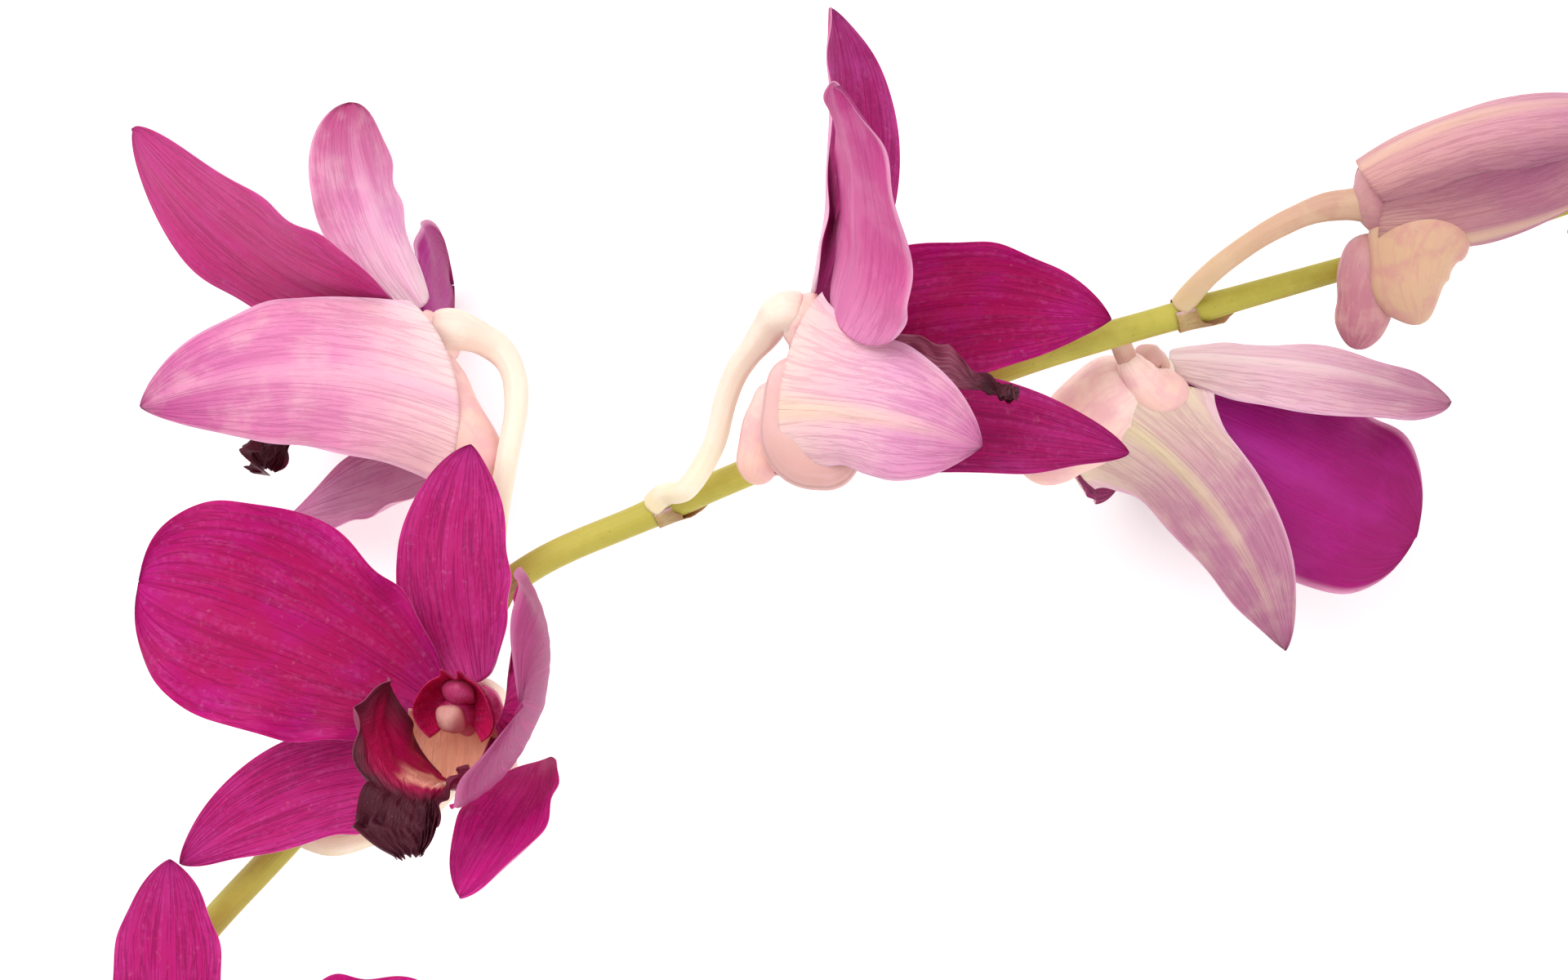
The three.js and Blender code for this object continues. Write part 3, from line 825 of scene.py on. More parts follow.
class Finish(Enum):
    """The finishes of the spray's pieces.

    Petal tissue is given as its inner colours, then its outer colours and its veins. Smooth
    tissue is given as its colours along the piece, then its specks, gloss, glow and fibres.
    """

    # Petals: satin magenta, deepest at the foot, duller and veined outside.
    PETAL_RICH = PetalTissue(
        "petal_rich_magenta", "#b81c76", "#ac0056", "#b4087c", "#8c0046",
        "#c9688f", "#b9477a", "#b03a74", "#c8568f", 0.2, 0.5,
    )
    PETAL_BRIGHT = PetalTissue(
        "petal_bright_magenta", "#c83a88", "#c42a78", "#cc3f90", "#96104f",
        "#c9688f", "#b9477a", "#b03a74", "#c8568f", 0.2, 0.5,
    )
    # Violet petals turned away from the light: the inner colours are the petal's own deep magenta, and the
    # outer colours are darkened as painted shade.
    PETAL_DEEP = PetalTissue(
        "petal_violet_painted_shade", "#b02070", "#a2005f", "#b40a80", "#72003c",
        "#b0248c", "#a01478", "#90105c", "#a8288a", 0.2, 0.5,
    )
    PETAL_BLUSH = PetalTissue(
        "petal_blush_outside", "#b02070", "#a10060", "#a81478", "#78003f",
        "#e08cb8", "#cf5a96", "#b83a80", "#d070a4", 0.25, 0.5,
    )
    PETAL_VEINED = PetalTissue(
        "petal_veined_outside", "#b81c76", "#b40a62", "#bc3c84", "#86003f",
        "#a8587c", "#a04674", "#963c6a", "#a85080", 0.2, 0.9, "#c77aa0",
    )
    # Sepals: pinker than the petals, outside pale pink to cream with a light midrib.
    SEPAL_BRIGHT = PetalTissue(
        "sepal_bright_pink", "#cd3a8c", "#b5126c", "#bd2c86", "#8c0450",
        "#dba0b6", "#c25a94", "#b0488a", "#d08cb0", 0.22, 0.7,
    )
    SEPAL_PALE = PetalTissue(
        "sepal_pale_outside", "#b83a80", "#9e1262", "#b03a86", "#780c48",
        "#f3d6de", "#e79ac6", "#c44c86", "#efb8d4", 0.3, 0.5,
    )
    SEPAL_MILKY = PetalTissue(
        "sepal_milky_outside", "#b83a80", "#9e1262", "#b03a86", "#780c48",
        "#e8cac6", "#e8bccc", "#c07a9c", "#f0d8d8", 0.3, 0.5, "#d8a4c0", 0.85,
    )
    SEPAL_CREAM = PetalTissue(
        "sepal_cream_ribbed", "#b83a80", "#a9085f", "#b02a80", "#7c0044",
        "#f0cdc6", "#e2a0c2", "#cc74a4", "#ecccb4", 0.4, 0.45,
    )
    SEPAL_BLUSH = PetalTissue(
        "sepal_blush_outside", "#b83a80", "#a9085f", "#b02a80", "#7c0044",
        "#fad6d4", "#e592ba", "#c9569a", "#ecb4c8", 0.28, 0.45,
    )
    SEPAL_SOFT = PetalTissue(
        "sepal_soft_pink", "#efc6d2", "#dc8fb5", "#cf6aa2", "#b8548c",
        "#f0cdc6", "#e2a0c2", "#cc74a4", "#ecccb4", 0.3, 0.4,
    )
    # Sepals of flower E, which faces down and away from the light: the outer colours are darkened as
    # painted shade.
    SEPAL_DUSKY = PetalTissue(
        "sepal_pink_painted_shade", "#b04a80", "#9a1c60", "#aa4a80", "#80104c",
        "#e4d0b8", "#c0889c", "#b06c8c", "#d8c8a0", 0.35, 0.5,
    )
    # Sepal that lies in the shadow of the lip and the right petal: its inner colours are raised as painted
    # light against that shade.
    SEPAL_VIVID = PetalTissue(
        "sepal_pink_painted_light", "#dc3a98", "#d8168a", "#dc3498", "#a80460",
        "#dba0b6", "#b4487f", "#a03c74", "#c07094", 0.22, 0.5,
    )
    # Sepals of the half-open bud: dusky rose and mauve with dark edges along the seams.
    BUD_ROSE = PetalTissue(
        "sepal_rose_bud", "#b06070", "#a04c64", "#b06a80", "#84384c",
        "#cf9a94", "#cf94a0", "#b8709a", "#dcb4a0", 0.35, 0.9, "#6c1e4c", 0.3,
    )
    BUD_DARK = PetalTissue(
        "sepal_mauve_bud", "#a04c64", "#8a3c54", "#a05a70", "#702c40",
        "#c09088", "#ac6c80", "#985878", "#d8b898", 0.3, 0.9, "#7a3458", 0.45,
    )
    # Lip and column: velvety maroon around a salmon throat, crimson hood, pale anther cap.
    LIP = LipTissue()
    COLUMN = SmoothTissue(
        "column_magenta_wax", "#e8a8a8", "#c03a70", "#a01450", "#c8588c", "#7e0038",
        0.1, 0.34,
    )
    THROAT = PetalTissue(
        "throat_salmon_wax", "#f6bc9c", "#f8b494", "#f0a090", "#ec9c88",
        "#d98878", "#c86a70", "#b84a68", "#f3d2bc", 0.2, 0.2, bloom="#fbd0b4",
    )
    # Hood of the column: its inner colours are raised as painted light against the shade inside the cup.
    HOOD = PetalTissue(
        "column_hood_painted_light_wax", "#b81c60", "#c00c4c", "#c4185c", "#8a0030",
        "#d888a8", "#c0407c", "#a0144c", "#c860a0", 0.3, 0.35,
    )
    ANTHER = SmoothTissue(
        "anther_cap_wax", "#c47a80", "#cc8c84", "#d4a498", "#b86870", "#a05460",
        0.2, 0.36, 0.25, 8.0, 0.04,
    )
    # Hearts and chins: waxy swellings from cream and rose to tan and mauve.
    CHIN = SmoothTissue(
        "chin_blush_wax", "#f6dad2", "#f2c8bc", "#ecbcaa", "#e4acb4", "#c88a70",
        0.1, 0.45, 0.3, 40.0, 0.05,
    )
    CHIN_DUSKY = SmoothTissue(
        "chin_dusky_wax", "#d8a8a4", "#c68c88", "#bd8480", "#cf9c90", "#96605c",
        0.15, 0.45, 0.25, 40.0, 0.05,
    )
    CHIN_ROSE = SmoothTissue(
        "chin_rose_wax", "#efc8c6", "#deb0a8", "#c48c84", "#e0b0b4", "#b07470",
        0.1, 0.45, 0.25, 40.0, 0.05,
    )
    CHIN_CREAM = SmoothTissue(
        "chin_cream_wax", "#efd8c4", "#f6e8d4", "#f8ecdc", "#f0d4cc", "#d0a890",
        0.1, 0.45, 0.25, 40.0, 0.05,
    )
    CHIN_TAN = SmoothTissue(
        "chin_tan_wax", "#c89488", "#cfa888", "#c8a084", "#c48484", "#96684c",
        0.15, 0.45, 0.25, 40.0, 0.05,
    )
    CHIN_MAUVE = SmoothTissue(
        "chin_mauve_wax", "#c08c90", "#b87884", "#a4586c", "#c89a94", "#86485a",
        0.15, 0.45, 0.25, 40.0, 0.05,
    )
    # Stalks, stem and sheaths: cream to dusky skin, yellow-green skin, dry tan paper.
    PEDICEL = SmoothTissue(
        "stalk_cream_skin", "#e9dbb0", "#f3e4d0", "#f2d6c6", "#f6e8d6", "#d8b89c",
        0.05, 0.42, 0.25, 26.0, 0.04,
    )
    PEDICEL_PINK = SmoothTissue(
        "stalk_pink_skin", "#d4bc8c", "#cca488", "#b88880", "#d4b494", "#a07060",
        0.12, 0.42, 0.25, 26.0, 0.04,
    )
    PEDICEL_DUSKY = SmoothTissue(
        "stalk_dusky_skin", "#c49a84", "#c08c86", "#d4a8a2", "#d8b4a0", "#a07060",
        0.12, 0.42, 0.25, 26.0, 0.04,
    )
    STEM = SmoothTissue(
        "stem_green_skin", "#a8a248", "#b6aa48", "#a39a34", "#bdb350", "#74562e",
        0.3, 0.42, 0.1, 30.0, 0.07,
    )
    BRACT = PetalTissue(
        "bract_dry_paper", "#b89a6a", "#c2a778", "#a8855a", "#8a6a44",
        "#b4925e", "#c0a678", "#9a7850", "#8e6c48", 0.2, 0.6,
    )

    def material(self) -> bpy.types.Material:
        """The finish's material, made when it is first asked for."""
        return bpy.data.materials.get(self.value.name) or self.value.build()


# ------------------------------------------------------------------ sepals and petals


@dataclass(frozen=True)
class Outline:
    """Shape of a leaf-like piece seen flat, and how it curls across.

    Attributes:
        widest: Where along its length it is widest.
        foot: Width of its foot as a share of its greatest width.
        point: How pointed its end is.
        curl: Half angle of its arc at the foot and at the tip.
        thickness: Wall at the middle of the foot, in mm.
    """

    widest: float
    foot: float
    point: float
    curl: tuple[float, float]
    thickness: float

    def half_width(self, u: Array) -> Array:
        """Share of the greatest half width at u.

        Before the widest place it is 1 - (1 - foot)(1 - (1 - (1 - u/widest)^2)^0.8), and after
        it (1 - ((u - widest)/(1 - widest))^2)^point.

        Args:
            u: Places along the piece, 0 at its foot and 1 at its tip.

        Returns:
            The share at each place.
        """
        before = np.clip(1.0 - u / self.widest, 0.0, 1.0)
        after = np.clip((u - self.widest) / max(1.0 - self.widest, 1e-6), 0.0, 1.0)
        rise = 1.0 - (1.0 - self.foot) * (1.0 - (1.0 - before**2) ** 0.8)
        fall = np.maximum((1.0 - after**2) ** self.point, 0.012)
        return np.where(u <= self.widest, rise, fall)


DORSAL = Outline(0.45, 0.45, 0.75, (0.6, 0.3), 0.9)
PETAL = Outline(0.6, 0.2, 0.4, (0.5, 0.15), 0.75)
LATERAL = Outline(0.4, 1.2, 0.75, (0.75, 0.3), 0.9)
BUD_SEPAL = Outline(0.4, 0.7, 0.5, (1.08, 1.08), 0.9)


@dataclass(frozen=True)
class Tepal:
    """One sepal, petal or sheath as a closed, thin, hollowed blade.

    Attributes:
        outline: Its shape seen flat.
        tip: Where it ends, in mm.
        inner: The direction that its hollow side faces.
        width: Greatest width, in mm.
        finish: Its finish.
        start: Where it begins, in mm, or None for the flower's own foot.
        bow: How far its midline bows at its middle, in mm.
        rake: How far one edge of the foot reaches back and the other forward, in mm.
        rounding: How round the foot ends: 0 is straight, 1 an arc about as deep as half its width.
        skew: How much wider one side of the foot is.
        wave: Height of the waves of its edges, in mm.
        cycles: How many waves lie along an edge.
        keel: Depth of the midrib groove, in mm.
        seed: Makes its waves its own.
    """

    outline: Outline
    tip: Point
    inner: Point
    width: float
    finish: Finish = Finish.PETAL_RICH
    start: Optional[Point] = None
    bow: Point = (0.0, 0.0, 0.0)
    rake: float = 0.0
    rounding: float = 0.6
    skew: float = 0.0
    wave: float = 0.3
    cycles: float = 3.0
    keel: float = 0.35
    seed: int = 1

    def surface(self, start: Array, rows: int = 104, columns: int = 72) -> Grid:
        """The closed blade.

        The midline is a quadratic curve from start to tip through a control point two bows from
        their middle. Across it lies an arc of half angle curl, and at the foot its edges start
        later than its middle, as on an ellipse. On the arc, along its normal, lie waves that grow
        with the fourth power of the distance from the midrib, a groove along the midrib, fine
        ridges along the veins and a slow random swelling.

        Args:
            start: Where the midline begins, in mm.
            rows: Grid rows along the blade.
            columns: Grid columns across it.

        Returns:
            The closed wall.
        """
        w = np.linspace(0.0, 1.0, rows)
        u = (1.0 - (1.0 - w) ** 1.35)[:, None]
        v = np.sin(np.linspace(-1.0, 1.0, columns) * math.pi / 2.0)[None, :]
        tip = np.array(self.tip)
        control = (start + tip) / 2.0 + 2.0 * np.array(self.bow)
        midline = (1 - u) ** 2 * start + 2 * u * (1 - u) * control + u**2 * tip
        tangent = unit(2 * (1 - u) * (control - start) + 2 * u * (tip - control))
        up = square_to(np.broadcast_to(np.array(self.inner), tangent.shape), tangent)
        across = np.cross(tangent, up)

        lean = 1.0 + self.skew * v * (1.0 - u) ** 1.5
        uneven = (
            1.0 + 0.016 * ripple(u, np.sign(v), self.seed + 40, 4, 3.0)
            * ease(u * 5.0) * ease((1.0 - u) * 6.0)
        )
        half = self.width / 2.0 * self.outline.half_width(u) * lean * uneven
        curl = (self.outline.curl[0] * (1.0 - u) + self.outline.curl[1] * u)
        angle = curl * v
        foot = self.rounding * half[:1].max() * (1.0 - np.sqrt(1.0 - 0.95 * v**2)) * (1.0 - u) ** 3
        centre = (
            midline[:, None, :] + tangent[:, None, :] * (foot - self.rake * v * (1.0 - u) ** 2)[..., None]
        )
        side = (half * np.sin(angle) / curl)[..., None] * across[:, None, :]
        lift = (half * (1.0 - np.cos(angle)) / curl)[..., None] * up[:, None, :]
        normal = np.cos(angle)[..., None] * up[:, None, :] - np.sin(angle)[..., None] * across[:, None, :]

        relief = self.relief(u, v)
        surface = centre + side + lift + normal * relief[..., None]
        thin = self.outline.thickness - RIM_WALL
        wall = RIM_WALL + thin * (1.0 - v**2) * (1.0 - 0.6 * u)
        wall = wall * (0.35 + 0.65 * ease((1.0 - np.abs(v)) * 9.0)) * (0.4 + 0.6 * ease((1.0 - u) * 12.0))
        pairs = np.stack(np.broadcast_arrays(u, (v + 1.0) / 2.0), -1)
        return shell(surface, normal, wall, pairs)

    def relief(self, u: Array, v: Array) -> Array:
        """Height above the plain arc: edge waves, midrib groove, vein ridges and swelling.

        Args:
            u: Places along the blade, 0 to 1.
            v: Places across it, -1 to 1.

        Returns:
            The height at each place, in mm.
        """
        random = np.random.default_rng(self.seed)
        phase = random.uniform(0.0, 2.0 * math.pi, 4)
        away = ease(u * 3.0)
        turn = np.where(v > 0.0, phase[0], phase[1]) + 0.9 * np.sin(2.0 * math.pi * 1.3 * u + phase[2])
        waves = self.wave * np.abs(v) ** 4 * np.sin(2.0 * math.pi * self.cycles * u + turn) * away
        groove = -self.keel * np.exp(-((v / 0.09) ** 2)) * (1.0 - 0.7 * u) * ease(u * 8.0)
        veins = 0.035 * np.cos(
            2.0 * math.pi * 9.0 * np.abs(v) ** 0.9 + 1.6 * np.sin(5.0 * u + phase[3])
        ) * away
        swell = 0.2 * ripple(u, v, self.seed + 7, 5, 2.0) * away
        return waves + groove + veins + swell


# ------------------------------------------------------------------ rods: stem, stalks, chins, buds


@dataclass(frozen=True)
class Rod:
    """A round body along a smooth curve, with rounded or cut ends.

    Attributes:
        points: Points of its centre line, in mm.
        radii: Radii read evenly along it and eased between, in mm.
        finish: Its finish.
        rounded: Length over which the start and the end close, in mm; nearly 0 is a cut end.
        ribs: Height of its lengthwise ribs, as a share of the radius.
        rib_count: How many ribs lie around it.
        seed: Makes its swelling its own.
    """

    points: tuple[Point, ...]
    radii: tuple[float, ...]
    finish: Finish
    rounded: tuple[float, float] = (1.0, 1.0)
    ribs: float = 0.02
    rib_count: int = 6
    seed: int = 1

    def surface(self, rings: int = 90, sides: int = 36) -> Grid:
        """The closed body.

        The radius at distance d from a rounded end is the full radius times the square root of
        1 - (1 - d/rounded)^2, which closes it as an ellipse. Ribs add a cosine around it.

        Args:
            rings: Rings along it.
            sides: Sides around it.

        Returns:
            The body.
        """
        curve = Curve(self.points)
        w = np.linspace(0.0, 1.0, rings)
        s = 0.5 * w + 0.5 * (1.0 - np.cos(math.pi * w)) / 2.0
        t = curve.even(s)
        centres = curve.at(t)
        _, normals, binormals = curve.frames(t)
        length = np.sum(np.linalg.norm(np.diff(centres, axis=0), axis=1))
        from_start = np.clip(s * length / self.rounded[0], 0.0, 1.0)
        from_end = np.clip((1.0 - s) * length / self.rounded[1], 0.0, 1.0)
        closing = np.sqrt(1.0 - (1.0 - from_start) ** 2) * np.sqrt(1.0 - (1.0 - from_end) ** 2)
        radius = blend_at(self.radii, s) * np.maximum(closing, 0.02)
        angle = np.arange(sides)[None, :] * 2.0 * math.pi / sides
        uneven = 1.0 + self.ribs * np.cos(self.rib_count * angle)
        uneven = uneven + 0.02 * np.sin(angle + 5.0 * s[:, None] * math.pi + self.seed)
        return tube(centres, normals, binormals, radius[:, None] * uneven)


@dataclass(frozen=True)
class ClosedBud:
    """A closed bud: three folded sepals that meet in seams, with a chin at its foot.

    Attributes:
        base: Where it begins, in mm.
        tip: Where it ends, in mm.
        radius: Greatest radius, in mm.
        chin: Direction in which the chin hangs.
        finish: Its finish.
    """

    base: Point
    tip: Point
    radius: float
    chin: Point = (0.0, -1.0, 0.0)
    finish: Finish = Finish.CHIN_DUSKY

    def surface(self, rings: int = 84, sides: int = 60) -> Grid:
        """The closed body.

        The radius is the greatest radius times sin(pi (0.02 + 0.98 t)^0.72)^0.7. Three seams a
        third of a turn apart press in a narrow groove, and around the chin's direction the foot
        swells outwards and back.

        Args:
            rings: Rings along it.
            sides: Sides around it.

        Returns:
            The body.
        """
        base, tip = np.array(self.base), np.array(self.tip)
        w = np.linspace(0.0, 1.0, rings)
        t = (1.0 - np.cos(math.pi * w)) / 2.0
        axis = unit(tip - base)
        down = square_to(np.array(self.chin, float), axis)
        side = np.cross(axis, down)
        centres = base + t[:, None] * (tip - base)
        profile = np.sin(math.pi * np.clip(0.02 + 0.98 * t, 0.0, 1.0) ** 0.72) ** 0.7
        angle = np.arange(sides)[None, :] * 2.0 * math.pi / sides
        seam = np.zeros((rings, sides))
        for third in range(3):
            off = np.angle(np.exp(1j * (angle - math.pi - third * 2.0 * math.pi / 3.0)))
            seam = seam + hump(off, 0.0, 0.12)
        lobe = np.clip(np.cos(angle), 0.0, 1.0) ** 2 * hump(t, 0.16, 0.13)[:, None]
        radii = self.radius * (profile[:, None] * (1.0 - 0.07 * seam) + 0.55 * lobe)
        radii = radii * np.maximum(np.sqrt(1.0 - (1.0 - np.clip(t * 9.0, 0.0, 1.0)) ** 2), 0.05)[:, None]
        ahead = np.broadcast_to(down, centres.shape)
        beside = np.broadcast_to(side, centres.shape)
        return tube(centres, ahead, beside, radii)


# ------------------------------------------------------------------ a flower


@dataclass(frozen=True)
class FlowerAxes:
    """Axes of a flower seen from its front.

    Attributes:
        heart: Its centre, in mm.
        facing: The direction that it looks in.
        crown: The direction of its dorsal sepal.
    """

    heart: Point
    facing: Point
    crown: Point

    def matrix(self) -> Array:
        """The flower's directions: side is crown cross facing.

        Returns:
            Rows side, crown and facing.
        """
        facing = unit(np.array(self.facing, float))
        crown = square_to(np.array(self.crown, float), facing)
        return np.stack([np.cross(crown, facing), crown, facing])

    def place(self, points: Array) -> Array:
        """Points given as side, crown and facing distances, in the layout of the spray."""
        return np.array(self.heart) + np.asarray(points, float) @ self.matrix()


@dataclass(frozen=True)
class Lip:
    """The lip: two side lobes that stand up around the column, and an end lobe that turns down.

    Attributes:
        left: Width factor of the left side lobe.
        right: Width factor of the right side lobe.
        size: Factor on the whole lip.
        droop: How far the end lobe hangs, as a share of drops.
        swing: How far the end lobe swings sideways, in mm.
        midline: Points along its middle before it hangs, in flower axes, in mm.
        drops: How far each of those points hangs down, in mm.
        widths: Half widths read evenly along it, in mm.
        curls: Half angles of its arc read evenly along it.
        ruffles: Height of its ruffles, as a share.
        seed: Makes its crinkles its own.
    """

    left: float = 1.0
    right: float = 1.0
    size: float = 1.0
    ruffles: float = 1.0
    droop: float = 1.0
    swing: float = 0.0
    midline: tuple[Point, ...] = ((0, -8.5, 0.8), (0, -8, 7), (0, -8, 13), (0, -8, 18), (0, -8, 21))
    drops: tuple[float, ...] = (0.0, 0.0, 0.0, 2.5, 7.0)
    widths: tuple[float, ...] = (2.6, 9.0, 15.5, 13.0, 6.8, 7.2, 3.6)
    curls: tuple[float, ...] = (0.9, 1.7, 2.0, 1.5, 0.7, -0.2, -0.5)
    seed: int = 3

    def surface(self, axes: FlowerAxes, rows: int = 150, columns: int = 130) -> Grid:
        """The closed, crinkled blade.

        Across the midline lies an arc whose half width and half angle are read along the lip.
        On it, along the normal: ruffles of the end lobe and of the side lobes' rims that grow
        towards the edge, three raised keels along the middle and a fine crinkle.

        Args:
            axes: The flower's axes.
            rows: Grid rows along it.
            columns: Grid columns across it.

        Returns:
            The closed wall.
        """
        u = np.linspace(0.0, 1.0, rows)
        v = np.sin(np.linspace(-1.0, 1.0, columns) * math.pi / 2.0)[None, :]
        share = np.linspace(0.0, 1.0, len(self.drops))
        hung = np.array(self.midline, float)
        hung = hung + np.stack([share * self.swing, -self.droop * np.array(self.drops), 0.0 * share], -1)
        scaled = axes.place(hung * self.size)
        curve = Curve(tuple(map(tuple, scaled)))
        centre, tangent = curve.at(u), curve.tangent(u)
        up = square_to(np.broadcast_to(axes.matrix()[1], tangent.shape), tangent)
        across = np.cross(tangent, up)
        u = u[:, None]
        side = 0.5 * (self.left + self.right) + 0.5 * (self.left - self.right) * np.tanh(v * 4.0)
        tooth = 1.0 + 0.03 * ripple(u, np.sign(v), self.seed, 6, 11.0) * ease(u * 6.0)
        notch = 1.0 - 0.25 * ease((u - 0.93) * 14.0)
        half = blend_at(self.widths, u) * side * self.size * tooth * notch
        curl = blend_at(self.curls, u)
        curl = np.where(np.abs(curl) < 0.02, 0.02, curl)
        angle = curl * v
        normal = np.cos(angle)[..., None] * up[:, None, :] - np.sin(angle)[..., None] * across[:, None, :]
        arc = (half * np.sin(angle) / curl)[..., None] * across[:, None, :]
        lift = (half * (1.0 - np.cos(angle)) / curl)[..., None] * up[:, None, :]
        surface = centre[:, None, :] + arc + lift + normal * self.relief(u, v)[..., None]
        wall = 0.55 * (0.35 + 0.65 * ease((1.0 - np.abs(v)) * 8.0)) + 0.0 * u
        pairs = np.stack(np.broadcast_arrays(u, (v + 1.0) / 2.0), -1)
        return shell(surface, normal, wall, pairs)

    def relief(self, u: Array, v: Array) -> Array:
        """Height above the plain arc: ruffles, keels and crinkle.

        Args:
            u: Places along the lip, 0 to 1.
            v: Places across it, -1 to 1.

        Returns:
            The height at each place, in mm.
        """
        end = ease((u - 0.6) * 5.0)
        ruffle = 0.9 * end * np.abs(v) ** 2 * np.sin(2.0 * math.pi * 5.5 * u + 2.2 * np.sign(v))
        ruffle = ruffle + 0.5 * end * np.sin(2.0 * math.pi * 4.0 * v + 3.0 * u) * np.abs(v)
        rim = 0.55 * np.abs(v) ** 5 * np.sin(2.0 * math.pi * 6.0 * u) * ease(u * 4.0)
        keels = hump(v, 0.0, 0.025) + 0.8 * hump(np.abs(v), 0.1, 0.025)
        keels = 0.45 * keels * ease((u - 0.15) * 8.0) * ease((0.9 - u) * 6.0)
        crinkle = (0.12 + 0.22 * end) * ripple(u, v, self.seed + 5, 9, 12.0)
        return self.size * (self.ruffles * (ruffle + rim) + keels + crinkle)


@dataclass(frozen=True)
class Column:
    """The column: a stout pillar with a hood of two wings, two teeth and an anther cap.

    Attributes:
        length: From the flower's heart to its front, in mm.
        radius: Radius near its front, in mm.
        hood: Half width, half height and depth of the hood, in mm.
    """

    length: float = 8.5
    radius: float = 2.3
    hood: Point = (5.0, 4.3, 5.4)

    def pillar(self, axes: FlowerAxes) -> Grid:
        """The pillar from the chin, past the heart, to the anther.

        Args:
            axes: The flower's axes.

        Returns:
            The closed body.
        """
        path = [
            (0, -12, -3.2), (0, -6, -2.6), (0, -1, -1), (0, 0.6, self.length / 2),
            (0, 0.4, self.length - 1.0),
        ]
        radii = tuple(self.radius * k for k in (0.6, 0.68, 0.78, 0.9, 0.95, 0.9))
        rod = Rod(tuple(map(tuple, axes.place(np.array(path)))), radii, Finish.COLUMN, (1.0, 1.4))
        return rod.surface(70, 30)

    def wings(self, axes: FlowerAxes) -> Grid:
        """The hood: an open cup, half an ellipsoid that opens forwards.

        At angle a around it and share s from its back, the radius is sin(s pi/2)^0.8 of the
        hood's half width and height, and two teeth draw the upper rim forwards beside a notch.
        The floor of the cup is cut back, so that the anther cap stands free.

        Args:
            axes: The flower's axes.

        Returns:
            The closed wall.
        """
        wide, tall, depth = self.hood
        s = np.linspace(0.04, 1.0, 44)[:, None]
        a = np.linspace(-0.78 * math.pi, 0.78 * math.pi, 96)[None, :]
        reach = np.sin(s * math.pi / 2.0) ** 0.8
        teeth = hump(np.abs(a), 0.2, 0.075) - 0.5 * hump(a, 0.0, 0.12)
        front = 1.0 + 0.34 * teeth * s**3 - 0.38 * ease((np.abs(a) - 1.3) / 1.1) * s
        x = 0.8 * s + wide * reach * np.sin(a) * (1.0 + 0.05 * np.cos(3 * a) * s)
        y = tall * reach * np.cos(a) + 1.1 + 0.9 * teeth * s**4
        z = self.length - depth * 0.82 + depth * (1.0 - np.cos(s * math.pi / 2.0)) * front * 0.92
        surface = np.stack([x, y, z], -1)
        along, around = np.gradient(surface, axis=0), np.gradient(surface, axis=1)
        normal = unit(np.cross(around, along))
        inward = np.sum(normal * (np.array([0.0, 0.8, self.length]) - surface), -1, keepdims=True)
        normal = normal * np.sign(inward.mean())
        pairs = np.stack(np.broadcast_arrays(s, (a / math.pi + 1.0) / 2.0), -1)
        wall = 0.42 * (0.4 + 0.6 * ease((1.0 - s) * 8.0)) + 0.0 * a
        grid = shell(surface, normal, wall, pairs)
        grid.points = axes.place(grid.points)
        return grid

    def cap(self, axes: FlowerAxes) -> Grid:
        """The anther cap: a low dome of four soft lobes.

        Args:
            axes: The flower's axes.

        Returns:
            The closed body.
        """
        z = self.length
        points = ((0.3, 1.3, z - 2.2), (0.3, 0.3, z - 0.9), (0.3, -0.8, z + 0.5))
        rod = Rod(
            tuple(map(tuple, axes.place(points))), (1.3, 1.9, 1.5), Finish.ANTHER, (1.4, 1.6), 0.06, 4
        )
        return rod.surface(50, 44)

    def ridge(self, axes: FlowerAxes) -> Grid:
        """The fleshy pad under the hood that ends above the anther cap.

        Args:
            axes: The flower's axes.

        Returns:
            The closed body.
        """
        z = self.length
        points = ((0.5, 4.0, z - 3.6), (0.5, 3.2, z - 2.4), (0.4, 1.7, z - 1.6))
        rod = Rod(tuple(map(tuple, axes.place(points))), (1.3, 2.1, 1.4), Finish.COLUMN, (1.2, 1.6))
        return rod.surface(40, 32)

    def throat(self, axes: FlowerAxes) -> Grid:
        """The foot of the column: a saddle between the anther cap and the lip.

        At s from its upper to its lower edge and t from side to side it lies at
        z = 2.2 + 2.4 t^2 - 1.5 sin(pi s), hollow in the middle and raised at both sides.

        Args:
            axes: The flower's axes.

        Returns:
            The closed wall.
        """
        s = np.linspace(0.0, 1.0, 50)[:, None]
        t = np.linspace(-1.0, 1.0, 60)[None, :]
        x = -1.2 + (5.2 + 0.8 * np.sin(math.pi * s)) * t
        y = 0.8 - 9.3 * s + 1.2 * t**2 * s
        z = (
            2.2 + 2.4 * t**2 - 1.5 * np.sin(math.pi * s) + 0.25
            * hump(t, 0.0, 0.06) + 0.06 * ripple(s, t, 5, 7, 6.0)
        )
        surface = np.stack(np.broadcast_arrays(x, y, z), -1)
        along, across = np.gradient(surface, axis=0), np.gradient(surface, axis=1)
        normal = unit(np.cross(along, across))
        normal = normal * np.sign(normal[..., 2:3].mean())
        pairs = np.stack(np.broadcast_arrays(s, (t + 1.0) / 2.0), -1)
        grid = shell(surface, normal, 0.4 + 0.0 * s * t, pairs)
        grid.points = axes.place(grid.points)
        return grid

    def heart(self, axes: FlowerAxes, finish: Finish) -> Grid:
        """The cone that carries sepals, petals and column at the end of the stalk.

        Args:
            axes: The flower's axes.
            finish: Its finish.

        Returns:
            The closed body.
        """
        points = ((0, 1.6, -4.2), (0, 1.0, -2.4), (0, 0.3, -0.2))
        return Rod(
            tuple(map(tuple, axes.place(points))), (2.0, 3.3, 4.6), finish, (1.0, 1.4), 0.03, 5
        ).surface(50, 44)


